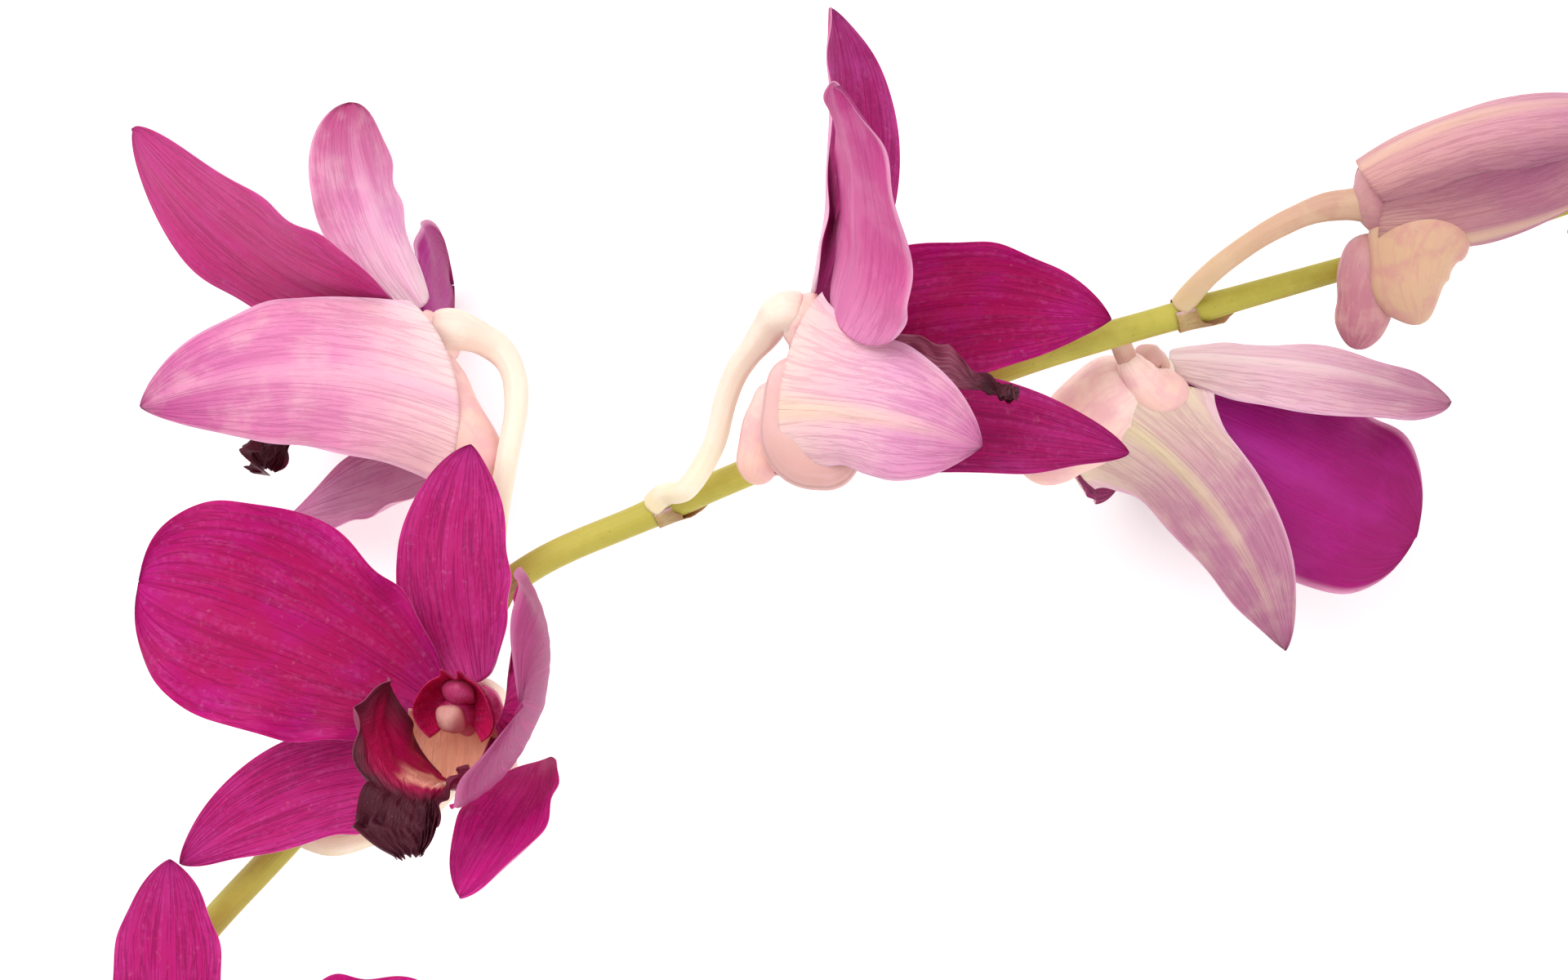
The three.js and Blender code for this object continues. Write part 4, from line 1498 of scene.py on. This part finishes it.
@dataclass(frozen=True)
class Flower:
    """One open flower with its stalk.

    Attributes:
        name: Name of its first solids, such as flower_b.
        axes: Its heart and directions.
        tepals: Its dorsal sepal, left and right petal, and left and right lateral sepal.
        lip: Its lip.
        root: Where its stalk begins inside the stem, in mm.
        stalk: Points of its stalk, from the stem, in mm.
        chins: The swellings at its foot.
        stalk_finish: Finish of the stalk.
        heart_finish: Finish of the cone that carries its pieces.
        stalk_radii: Radii of its stalk read evenly along it, in mm.
        feet: Where each tepal begins unless it says so, in flower axes, in mm.
    """

    name: str
    axes: FlowerAxes
    tepals: dict[str, Tepal]
    lip: Lip
    root: Point
    stalk: tuple[Point, ...]
    chins: tuple[Rod, ...]
    stalk_finish: Finish = Finish.PEDICEL
    heart_finish: Finish = Finish.CHIN
    stalk_radii: tuple[float, ...] = (1.55, 1.35, 1.35, 1.35, 1.4, 1.55, 2.0, 3.0)
    feet: tuple[tuple[str, Point], ...] = (
        ("dorsal_sepal", (0, 4.2, 0)),
        ("left_petal", (-3.6, 0.8, 1.4)),
        ("right_petal", (3.6, 0.8, 1.4)),
        ("left_lateral_sepal", (-3.7, -8, -1.5)),
        ("right_lateral_sepal", (3.7, -8, -1.5)),
    )

    def build(self) -> None:
        """Makes and dresses every piece of the flower."""
        for number, (part, foot) in enumerate(self.feet):
            tepal = self.tepals[part]
            start = np.array(tepal.start, float) if tepal.start else self.axes.place(foot)
            grid = replace(tepal, seed=tepal.seed + 11 * number + ord(self.name[-1])).surface(start)
            node = f"{self.name}_{part}"
            make_piece(f"{node}_blade", grid, tepal.finish.material(), (node,))
        lip_node = f"{self.name}_lip"
        make_piece(
            f"{lip_node}_blade", self.lip.surface(self.axes), Finish.LIP.material(), (lip_node,)
        )
        self.build_column()
        self.build_stalk()

    def build_column(self) -> None:
        """Makes the column, its hood, pad, foot and anther cap, the flower's heart and the chins."""
        column = Column()
        node = f"{self.name}_column"
        make_piece(f"{node}_pillar", column.pillar(self.axes), Finish.COLUMN.material(), (node,))
        # The hood's finish brightens its inner side as painted light.
        make_piece(f"{node}_hood", column.wings(self.axes), Finish.HOOD.material(), (node,))
        make_piece(f"{node}_ridge", column.ridge(self.axes), Finish.COLUMN.material(), (node,))
        make_piece(f"{node}_cap", column.cap(self.axes), Finish.ANTHER.material(), (node,))
        make_piece(f"{node}_foot", column.throat(self.axes), Finish.THROAT.material(), (node,))
        heart = column.heart(self.axes, self.heart_finish)
        make_piece(f"{self.name}_heart", heart, self.heart_finish.material(), ())
        for number, chin in enumerate(self.chins):
            make_piece(
                f"{self.name}_chin_{number + 1}", chin.surface(70, 44), chin.finish.material(), ()
            )

    def build_stalk(self) -> None:
        """Makes the stalk, which flares into the foot of the flower."""
        inside = self.axes.place([(0, 2, -4), (0, 1.5, -2.0)])
        points = (self.root, *self.stalk, *map(tuple, inside))
        rod = Rod(points, self.stalk_radii, self.stalk_finish, (0.8, 1.0), 0.03, 6)
        node = f"{self.name}_pedicel"
        make_piece(f"{node}_stalk", rod.surface(90, 30), self.stalk_finish.material(), (node,))


# ------------------------------------------------------------------ stem, sheaths and buds


@dataclass(frozen=True)
class Stem:
    """The arched stem with its joints and papery sheaths.

    Attributes:
        points: Points of its centre line, from the cut end to the tip, in mm.
        radius: Radius of the lower stem, in mm.
        tip_radius: Radius at the tip, in mm.
        joints: Where each stalk leaves, by the letter of its flower, in mm.
        sheath_radius: Radius of a sheath where it hugs the stem, in mm.
        sheath_turn: How far a sheath reaches around the stem to either side, in radians.
    """

    points: tuple[Point, ...]
    joints: dict[str, Point]
    radius: float = 1.75
    tip_radius: float = 0.7
    sheath_radius: float = 2.04
    sheath_turn: float = 2.5

    def build(self) -> None:
        """Makes the stem and its sheaths."""
        make_piece("stem_rod", self.surface(), Finish.STEM.material(), ("stem",))
        for letter, joint in self.joints.items():
            make_piece(
                f"bract_{letter}_sheath",
                self.sheath(joint, ord(letter)),
                Finish.BRACT.material(),
                (f"bract_{letter}",),
            )

    def surface(self, rings: int = 420, sides: int = 40) -> Grid:
        """The stem: its radius swells a little at each joint and it is cut square at its foot.

        Args:
            rings: Rings along it.
            sides: Sides around it.

        Returns:
            The closed body.
        """
        curve = Curve(self.points)
        s = np.concatenate([[0.0, 0.0004], np.linspace(0.0012, 1.0, rings)])
        t = curve.even(s)
        centres = curve.at(t)
        _, normals, binormals = curve.frames(t)
        radius = self.radius + (self.tip_radius - self.radius) * np.clip((s - 0.7) / 0.3, 0.0, 1.0)
        for joint in self.joints.values():
            near = np.linalg.norm(centres - np.array(joint), axis=1)
            radius = radius * (1.0 + 0.06 * np.exp(-(((near - near.min()) / 2.0) ** 2)))
        radius[0] *= 0.9
        radius = radius * np.sqrt(np.clip((1.0 - s) * 260.0, 0.002, 1.0))
        angle = np.arange(sides)[None, :] * 2.0 * math.pi / sides
        uneven = (
            1.0 + 0.012 * np.cos(7.0 * angle + 9.0 * s[:, None]) + 0.015 * np.sin(angle + 40.0 * s[:, None])
        )
        return tube(centres, normals, binormals, radius[:, None] * uneven)

    def sheath(self, joint: Point, seed: int) -> Grid:
        """A papery sleeve around the stem that opens towards the stalk and ends in a ragged tip.

        At share s along it and angle a around the stem, its radius flares a little and its
        upper edge stands higher opposite the stalk, with small teeth.

        Args:
            joint: Where the stalk leaves, in mm.
            seed: Makes its teeth its own.

        Returns:
            The closed wall.
        """
        curve = Curve(self.points)
        fine = np.linspace(0.0, 1.0, 4000)
        middle = fine[np.argmin(np.linalg.norm(curve.at(fine) - np.array(joint), axis=1))]
        axis = curve.tangent(np.array([middle]))[0]
        centre = curve.at(np.array([middle]))[0]
        away = square_to(centre - np.array(joint) + 1e-6, axis)
        side = np.cross(axis, away)
        s = np.linspace(0.0, 1.0, 26)[:, None]
        a = np.linspace(-self.sheath_turn, self.sheath_turn, 90)[None, :]
        top = 1.9 + 2.9 * np.exp(-((a / 0.7) ** 2)) + 0.3 * ripple(a, 0.0 * a, seed, 6, 1.6)
        height = -2.3 + s * (2.3 + top) * (0.75 + 0.25 * np.cos(a))
        radius = (
            self.sheath_radius + 0.3 * s**2 + 0.12
            * ripple(a, s, seed + 3, 5, 1.2) * s + 0.03 * np.cos(22.0 * a)
        )
        spoke = away * np.cos(a)[..., None] + side * np.sin(a)[..., None]
        surface = centre + axis * height[..., None] + spoke * radius[..., None]
        pairs = np.stack(np.broadcast_arrays(s, a / (2.0 * self.sheath_turn) + 0.5), -1)
        wall = 0.18 - 0.08 * s + 0.0 * a
        return shell(surface, -np.broadcast_to(spoke, surface.shape), wall, pairs)


@dataclass(frozen=True)
class OpeningBud:
    """The half-open bud: three sepals still closed around a core of petals, on a stalk.

    Attributes:
        base: Foot of its axis, in mm.
        tip: Tip of its axis, in mm.
        sepals: Its sepals by name, a third of a turn apart, with their finishes.
        core: The folded petals.
        stalk: Points of its stalk, in mm.
        chins: The swellings at its foot.
        foot_radius: From the axis to the middle of each sepal's foot, in mm.
        tip_radius: From the axis to each sepal's tip, in mm.
        bow: How far each sepal bows outwards at its middle, in mm.
        width: Greatest width of a sepal, in mm.
        turn: Angle from the crown to the dorsal sepal, in radians.
        stalk_radii: Radii of its stalk read evenly along it, in mm.
    """

    base: Point
    tip: Point
    sepals: dict[str, Finish]
    core: ClosedBud
    stalk: tuple[Point, ...]
    chins: tuple[Rod, ...]
    foot_radius: float = 4.9
    tip_radius: float = 1.15
    bow: float = 4.6
    width: float = 17.0
    turn: float = -0.61
    stalk_radii: tuple[float, ...] = (1.5, 1.35, 1.35, 1.5, 1.9, 3.2)

    def build(self) -> None:
        """Makes and dresses every piece of the bud."""
        base, tip = np.array(self.base), np.array(self.tip)
        side, crown, _ = FlowerAxes(self.base, tuple(tip - base), (0.0, 1.0, 0.0)).matrix()
        for number, (part, finish) in enumerate(self.sepals.items()):
            angle = self.turn + 2.0 * math.pi * number / len(self.sepals)
            away = crown * math.cos(angle) + side * math.sin(angle)
            end = tuple(tip + self.tip_radius * away)
            bow = tuple(self.bow * away)
            tepal = Tepal(
                BUD_SEPAL,
                end,
                tuple(-away),
                self.width,
                finish,
                bow=bow,
                rounding=0.1,
                wave=0.15,
                keel=0.2,
                seed=70 + number,
            )
            grid = tepal.surface(base + self.foot_radius * away)
            make_piece(f"bud_f_{part}_blade", grid, finish.material(), (f"bud_f_{part}",))
        make_piece(
            "bud_f_core_folds", self.core.surface(), self.core.finish.material(), ("bud_f_core",)
        )
        stalk = Rod(self.stalk, self.stalk_radii, Finish.PEDICEL_PINK, (0.8, 1.5), 0.03)
        make_piece(
            "bud_f_pedicel_stalk",
            stalk.surface(),
            Finish.PEDICEL_PINK.material(),
            ("bud_f_pedicel",),
        )
        for number, chin in enumerate(self.chins):
            make_piece(f"bud_f_chin_{number + 1}", chin.surface(70, 44), chin.finish.material(), ())


@dataclass(frozen=True)
class TipBuds:
    """The closed buds towards the tip of the spray, each on a short stalk.

    Attributes:
        buds: Each bud by its letter, with the points of its stalk.
        stalk_radii: Radii of a stalk read evenly along it, in mm.
    """

    buds: dict[str, tuple[ClosedBud, tuple[Point, ...]]]
    stalk_radii: tuple[float, ...] = (1.1, 1.0, 1.0, 1.3)

    def build(self) -> None:
        """Makes and dresses the buds."""
        for letter, (bud, stalk) in self.buds.items():
            make_piece(
                f"bud_{letter}_body", bud.surface(), bud.finish.material(), (f"bud_{letter}",)
            )
            rod = Rod((*stalk, bud.base), self.stalk_radii, Finish.PEDICEL_PINK, (0.5, 0.8), 0.03)
            node = f"bud_{letter}_pedicel"
            make_piece(
                f"{node}_stalk", rod.surface(30, 24), Finish.PEDICEL_PINK.material(), (node,)
            )


# ------------------------------------------------------------------ sizes of this spray


def chin(points: tuple[Point, ...], radii: tuple[float, ...], finish: Finish = Finish.CHIN) -> Rod:
    """One swelling at the foot of a flower: a rod with round ends.

    Args:
        points: Points of its centre line, in mm.
        radii: Radii read evenly along it, in mm.
        finish: Its finish.

    Returns:
        The rod.
    """
    return Rod(points, radii, finish, (radii[0], 1.2 * radii[-1]), 0.015, 3)


def spray_flowers() -> tuple[Flower, ...]:
    """The five open flowers from the cut end to the tip.

    Returns:
        The flowers A to E.
    """
    # The violet petal finish and the dusky sepal finish carry painted shade: darker outer colours for
    # pieces that turn away from the light.
    bright, rich, shade_darkened_petal = Finish.SEPAL_BRIGHT, Finish.PETAL_RICH, Finish.PETAL_DEEP
    pale, cream, dusky = Finish.SEPAL_PALE, Finish.SEPAL_CREAM, Finish.SEPAL_DUSKY
    flower_a = Flower(
        "flower_a",
        FlowerAxes((-74.5, -76, 6), (0.1, -0.1, 0.98), (0, 1, 0)),
        {
            "dorsal_sepal": Tepal(DORSAL, (-74, -44.5, 8), (0, 0, 1), 14, bright),
            "left_petal": Tepal(PETAL, (-113, -71, 8), (0, -0.1, 1), 27, rich, wave=1.2),
            "right_petal": Tepal(PETAL, (-37, -69, 8), (0, -0.1, 1), 27, rich, wave=1.2),
            "left_lateral_sepal": Tepal(
                replace(LATERAL, foot=0.75), (-96, -107, 0), (0.3, 0.3, 1), 14, bright
            ),
            "right_lateral_sepal": Tepal(
                replace(LATERAL, foot=0.75), (-57, -109, 0), (-0.3, 0.3, 1), 14, bright
            ),
        },
        Lip(),
        (-89.5, -80, -8),
        ((-88, -81.5, -9), (-85, -82.5, -7.5), (-80, -80, -4.5), (-76.5, -77, -1)),
        (chin(((-75.5, -76, 1.5), (-75.5, -83, 0.5), (-75.5, -89, 1.5)), (2.6, 3.2, 3.2)),),
    )
    flower_b = Flower(
        "flower_b",
        FlowerAxes((-37.5, -27.5, 9), (-0.3, 0.02, 0.95), (0.06, 1, 0)),
        {
            "dorsal_sepal": Tepal(DORSAL, (-38, 5.5, 4), (-0.15, 0.1, 1), 14.5, bright, bow=(-2, 0, 1)),
            "left_petal": Tepal(
                PETAL, (-77.5, -11, 10), (-0.1, 0, 1), 27.5, rich, bow=(0, 2, 1), wave=1.1, cycles=3.5
            ),
            "right_petal": Tepal(
                replace(PETAL, curl=(0.8, 0.9), foot=0.3),
                (-29.8, -24, 38),
                (-0.96, 0.28, 0.1),
                33,
                Finish.PETAL_VEINED,
                start=(-33.4, -26.5, 10.5),
                bow=(3, 0, 0),
                wave=0.5,
            ),
            "left_lateral_sepal": Tepal(
                LATERAL, (-73.5, -45.5, 3), (-0.1, 0.2, 1), 14, bright, bow=(0, 4, 0)
            ),
            # This sepal lies in the shadow of the lip and the right petal; its finish brightens the inner
            # side as painted light.
            "right_lateral_sepal": Tepal(
                replace(LATERAL, foot=0.45, widest=0.45),
                (-38, -47.5, 24),
                (-0.5, 0, 1),
                12.5,
                Finish.SEPAL_VIVID,
                start=(-29.3, -33, 7.6),
                bow=(1, 1, 0),
            ),
        },
        Lip(left=1.15, right=0.25, swing=2.4),
        (-59.5, -42.0, -1),
        ((-55.5, -43.5, -1), (-51, -42.5, -3), (-45, -40, -3), (-39.5, -34, -1), (-37.5, -29, 2)),
        (chin(((-36, -27, 4.5), (-35.5, -34, 4), (-36, -40, 5)), (2.8, 3.2, 3.0)),),
        heart_finish=Finish.COLUMN,
    )
    flower_c = Flower(
        "flower_c",
        FlowerAxes((-44.5, 18, -8), (-0.93, 0.05, -0.3), (0.1, 0.97, 0.2)),
        {
            "dorsal_sepal": Tepal(
                replace(DORSAL, widest=0.6, point=0.5),
                (-53.5, 48, -6),
                (-0.7, 0, -0.7),
                14,
                pale,
                start=(-45.3, 22.6, -9.3),
                bow=(-2.5, 0, 0),
            ),
            "left_petal": Tepal(PETAL, (-43, 26.5, -31), (-0.94, 0, -0.2), 22, shade_darkened_petal),
            "right_petal": Tepal(
                replace(PETAL, foot=0.12, widest=0.5, point=0.65, curl=(0.3, 0.1)),
                (-80, 44.5, -2),
                (-0.48, -0.72, 0.5),
                26,
                Finish.PETAL_BRIGHT,
                start=(-47.5, 22, -5),
                bow=(-0.5, -5, 0),
                skew=0.6,
            ),
            "left_lateral_sepal": Tepal(
                LATERAL, (-64, -3.5, -28), (-0.2, 0.7, 0.7), 15, Finish.SEPAL_SOFT, start=(-38, 4.5, -13)
            ),
            "right_lateral_sepal": Tepal(
                replace(LATERAL, foot=1.05, widest=0.35, curl=(0.5, 0.3)),
                (-78, 10, 5),
                (0.05, -0.1, -1),
                19.5,
                Finish.SEPAL_BLUSH,
                start=(-40, 10.5, -1.5),
                bow=(0, 4, 2.5),
                rake=5,
            ),
        },
        Lip(size=1.1),
        (-37.5, -15.2, -1.5),
        (
            (-37, -13, -3.5), (-36, -9, -2.5), (-35, -2, -2), (-34, 4, -2), (-33, 10, -4),
            (-33.5, 14.5, -6), (-35.5, 17.5, -7.5),
        ),
        (
            chin(
                ((-44.5, 17.5, -6.5), (-41.8, 12, -5.2), (-39.4, 7, -4.9), (-34.9, 1.0, -5.0)),
                (2.4, 3.3, 3.4, 2.8)
            ),
        ),
    )
    flower_d = Flower(
        "flower_d",
        FlowerAxes((4, 19.5, 14), (0.95, 0.1, -0.1), (-0.2, 0.95, 0)),
        {
            "dorsal_sepal": Tepal(
                replace(DORSAL, foot=0.4, curl=(1.0, 0.6)),
                (5.5, 57.5, 14),
                (0.75, 0.1, 0.6),
                15,
                pale,
                start=(4, 22.4, 13.3),
                bow=(2.8, 0, 0),
            ),
            "left_petal": Tepal(
                replace(PETAL, widest=0.35, foot=0.72),
                (6, 46, 36),
                (0.93, 0.22, -0.27),
                23,
                Finish.PETAL_BLUSH,
                start=(6.5, 19.6, 19.8),
                bow=(2.5, -1, 0),
                wave=0.5,
            ),
            "right_petal": Tepal(
                replace(PETAL, widest=0.3, point=0.8),
                (39.5, 20.5, 7.5),
                (-0.2, -0.45, 0.85),
                19.5,
                rich,
                start=(6, 19, 8.3),
                bow=(0, 2.5, 0),
            ),
            "left_lateral_sepal": Tepal(
                replace(LATERAL, foot=1.35),
                (23, 5, 26),
                (0.1, 0.1, -1),
                17,
                cream,
                start=(-0.5, 9.5, 19),
                bow=(0, 1.2, 2),
                rake=-1.5,
                rounding=0.2,
                skew=0.28,
                wave=0.2,
            ),
            "right_lateral_sepal": Tepal(
                replace(LATERAL, foot=0.95),
                (42, 4.5, 3),
                (0, 0.3, 0.9),
                14,
                cream,
                start=(-4, 6, 8),
                bow=(0, 2.5, 0),
            ),
        },
        Lip(left=0.55, right=0.45, size=1.1, droop=0.2, ruffles=0.3),
        (-16.2, -2.2, 0.8),
        ((-14.5, -0.5, 2.5), (-12, 0, 5), (-8.7, 5, 6), (-7, 11, 7.5), (-5.5, 14.5, 9), (-3, 17.8, 11.5)),
        (
            chin(
                ((2.0, 16, 14.6), (1.2, 9.5, 15.0), (2.4, 4.3, 15.2), (5.6, 3.6, 15.4), (9.6, 5.2, 16)),
                (3.0, 3.7, 4.3, 3.6, 1.4),
                Finish.CHIN_ROSE,
            ),
            chin(((-0.5, 13, 10), (-2.6, 6, 10), (-3.4, 0.6, 10)), (2.4, 2.8, 2.6)),
        ),
    )
    flower_e = Flower(
        "flower_e",
        FlowerAxes((45, 13.5, -11), (0.35, -0.35, -0.87), (0.75, 0.65, 0)),
        {
            "dorsal_sepal": Tepal(
                replace(DORSAL, point=0.5),
                (83.5, 11, -12),
                (0.1, -0.75, -0.65),
                13.5,
                Finish.SEPAL_MILKY,
                bow=(0, 1.3, 0),
            ),
            "left_petal": Tepal(PETAL, (80, -6, -18), (0, -0.3, -0.95), 26, shade_darkened_petal, wave=1.0),
            "right_petal": Tepal(PETAL, (43, 12.5, -31), (0.57, -0.65, 0.1), 9.5, shade_darkened_petal, wave=0.2),
            "left_lateral_sepal": Tepal(
                replace(LATERAL, foot=1.4),
                (62.5, -20, -10),
                (0.3, 0.1, -0.95),
                14,
                dusky,
                start=(39.2, 9.6, -5),
                bow=(2.5, 3.2, 0),
                rake=-3.5,
                rounding=1.0,
                skew=-0.1,
                wave=0.25,
            ),
            "right_lateral_sepal": Tepal(
                replace(LATERAL, foot=1.0),
                (43.5, 1, -30.5),
                (0.7, -0.2, 0.3),
                12,
                dusky,
                start=(36.5, 7, -17),
                wave=0.2,
            ),
        },
        Lip(left=0.65, right=0.5, size=0.7, ruffles=0.4),
        (41.0, 19.4, -1.2),
        ((41.6, 17.4, -2.6), (42.8, 15.4, -4.4), (44.2, 13.8, -7.4)),
        (
            chin(
                (
                    (45, 13.2, -6.6), (41, 11.8, -7.6), (36.8, 7.4, -8.6), (32.6, 4.0, -9.2),
                    (29.0, 3.4, -9.4),
                ),
                (3.6, 5.2, 5.4, 4.0, 2.4),
                Finish.CHIN,
            ),
            chin(
                ((42.0, 16.8, -3.2), (43.6, 14.2, -4.4), (46.4, 12.2, -6.6), (50, 12, -9.5)),
                (1.5, 2.4, 3.1, 2.2), Finish.CHIN,
            ),
        ),
        Finish.PEDICEL_DUSKY,
        Finish.CHIN_CREAM,
    )
    return (flower_a, flower_b, flower_c, flower_d, flower_e)


def spray_stem() -> Stem:
    """The stem with the joints where stalks leave it.

    Returns:
        The stem.
    """
    points = (
        (-152, -150, -29.9), (-125, -120, -21.5), (-98, -88, -10), (-71.5, -54.5, -3), (-60.5, -42.5, -1),
        (-46, -24, 0), (-32, -10.2, 0), (-17, -3.2, 0), (-6, 1.5, 0), (12, 9, 0), (30, 16, 0),
        (48, 21.3, 0),
        (68, 27, 0), (96, 35, -1), (113, 42, -4), (127, 50, -9), (138, 60, -14),
    )
    joints = {
        "a": (-88, -81.5, -9),
        "b": (-55.5, -43.5, -1),
        "c": (-37, -13, -3.5),
        "d": (-14.5, -0.5, 2.5),
        "f": (49.5, 23.8, 2),
    }
    return Stem(points, joints)


def spray_opening_bud() -> OpeningBud:
    """The half-open bud beyond the last open flower.

    Returns:
        The bud F.
    """
    return OpeningBud(
        (70, 34.4, 8.5),
        (107, 44.3, 7.5),
        {
            "dorsal_sepal": Finish.BUD_ROSE,
            "left_lateral_sepal": Finish.BUD_DARK,
            "right_lateral_sepal": Finish.BUD_DARK,
        },
        ClosedBud((74, 35.5, 8.5), (101, 42.8, 8), 4.0, finish=Finish.COLUMN),
        (
            (48.4, 22.2, 0.6), (49.5, 23.8, 2), (51.5, 26, 4), (54.5, 28.5, 5.5), (59, 31.5, 7),
            (65, 34, 8), (70.5, 34.6, 8.4), (73.5, 35, 8.5),
        ),
        (
            chin(
                ((68.6, 34.0, 8.5), (71.4, 34.8, 8.5), (76.0, 36.0, 8.4)), (4.9, 6.2, 5.6),
                Finish.CHIN_MAUVE,
            ),
            chin(
                ((81, 35.5, 8.5), (76.2, 30, 8.6), (75.2, 25, 8.6), (76.6, 19.9, 8.6)),
                (5.6, 6.0, 4.9, 2.5), Finish.CHIN_TAN,
            ),
            chin(
                ((71.8, 31, 6.0), (70.8, 25.5, 6), (70.0, 21, 6), (69.2, 17.0, 6)), (4.2, 3.9, 3.4, 2.5),
                Finish.CHIN_MAUVE,
            ),
        ),
    )


def spray_tip_buds() -> TipBuds:
    """The four closed buds at the tip.

    Returns:
        The buds G to J.
    """
    dusky, green = Finish.CHIN_DUSKY, Finish.PEDICEL_PINK
    return TipBuds(
        {
            "g": (
                ClosedBud((100, 29.5, -1), (124, 27, -6), 5.2, (0, -1, 0), dusky),
                ((96.5, 32.5, -1), (98, 31, -1)),
            ),
            "h": (
                ClosedBud((116, 49, -3), (128, 64, -6), 4.0, (1, -1, 0), dusky),
                ((112.5, 44.5, -3.5), (114, 47, -3)),
            ),
            "i": (
                ClosedBud((132, 45.5, -12), (144, 37, -17), 3.0, (-1, -1, 0), green),
                ((129, 49, -10.5), (130.8, 47, -11.3)),
            ),
            "j": (
                ClosedBud((140, 62, -14.6), (147, 69, -17), 2.2, (1, -1, 0), green),
                ((138.8, 60.8, -14.3), (139.3, 61.3, -14.4)),
            ),
        }
    )


# ------------------------------------------------------------------ studio


@dataclass(frozen=True)
class Studio:
    """A pale table under large soft lights, with the camera above it.

    Attributes:
        camera_mm: Where the camera stands in the layout of the spray; it looks straight down.
        lens_mm: Focal length.
        table_half: Half the side of the table, in metres.
        table_glow: Light that comes through the table, which keeps shadows faint.
        table_drop_mm: How far the table lies below the spray's resting level.
        sensor_mm: Width of the camera's sensor.
        surroundings: Strength of the even light from all around.
    """

    camera_mm: Point = (0.0, 0.0, 533.0)
    lens_mm: float = 100.0
    table_half: float = 4.0
    table_glow: float = 0.22
    table_drop_mm: float = 0.5
    sensor_mm: float = 36.0
    surroundings: float = 0.72

    def build(self) -> None:
        """Makes table, lights, surroundings and camera."""
        self.build_table()
        self.build_light("key", (-0.55, 0.75, 1.1), (0.1, -0.1, 0.0), 1.2, 13.5)
        self.build_light("fill", (0.9, -0.5, 0.9), (0.0, 0.0, 0.0), 1.4, 8.0)
        world = bpy.data.worlds.new("soft_surroundings")
        world.use_nodes = True
        world.node_tree.nodes["Background"].inputs["Color"].default_value = WHITE
        world.node_tree.nodes["Background"].inputs["Strength"].default_value = self.surroundings
        bpy.context.scene.world = world
        bpy.context.scene.view_settings.view_transform = "Standard"
        data = bpy.data.cameras.new("camera")
        data.lens = self.lens_mm
        data.sensor_width = self.sensor_mm
        data.clip_start = 0.01
        camera = bpy.data.objects.new("camera", data)
        camera.location = tuple(PLACEMENT.to_frame(np.array(self.camera_mm)))
        bpy.context.scene.collection.objects.link(camera)
        bpy.context.scene.camera = camera

    def build_table(self) -> None:
        """Makes the plain table."""
        h, z = self.table_half, -self.table_drop_mm * MILLIMETRE
        mesh = bpy.data.meshes.new("table")
        mesh.from_pydata([(-h, -h, z), (h, -h, z), (h, h, z), (-h, h, z)], [], [(0, 1, 2, 3)])
        material = bpy.data.materials.new("opal_acrylic_light_table")
        material.use_nodes = True
        shader = material.node_tree.nodes["Principled BSDF"]
        shader.inputs["Base Color"].default_value = (0.98, 0.98, 0.98, 1.0)
        shader.inputs["Roughness"].default_value = 0.9
        shader.inputs["Emission Color"].default_value = WHITE
        shader.inputs["Emission Strength"].default_value = self.table_glow
        mesh.materials.append(material)
        table = bpy.data.objects.new("table", mesh)
        bpy.context.scene.collection.objects.link(table)

    def build_light(self, name: str, place: Point, target: Point, size: float, power: float) -> None:
        """Makes one square area light.

        Args:
            name: Its name.
            place: Where it hangs, in metres.
            target: What it points at, in metres.
            size: Side of the square, in metres.
            power: Power in watts.
        """
        data = bpy.data.lights.new(name, "AREA")
        data.size = size
        data.energy = power
        light = bpy.data.objects.new(name, data)
        light.location = place
        aim = np.array(target) - np.array(place)
        pitch = math.acos(-float(unit(aim)[2]))
        light.rotation_euler = (pitch, 0.0, math.atan2(aim[1], aim[0]) - math.pi / 2.0)
        bpy.context.scene.collection.objects.link(light)


def main() -> None:
    """Builds the spray, piece by piece, and the studio around it."""
    logging.basicConfig(level=logging.INFO, format="%(name)s %(message)s", stream=sys.stdout)
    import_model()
    spray_stem().build()
    for flower in spray_flowers():
        flower.build()
    spray_opening_bud().build()
    spray_tip_buds().build()
    Studio().build()


if __name__ == "__main__":
    main()
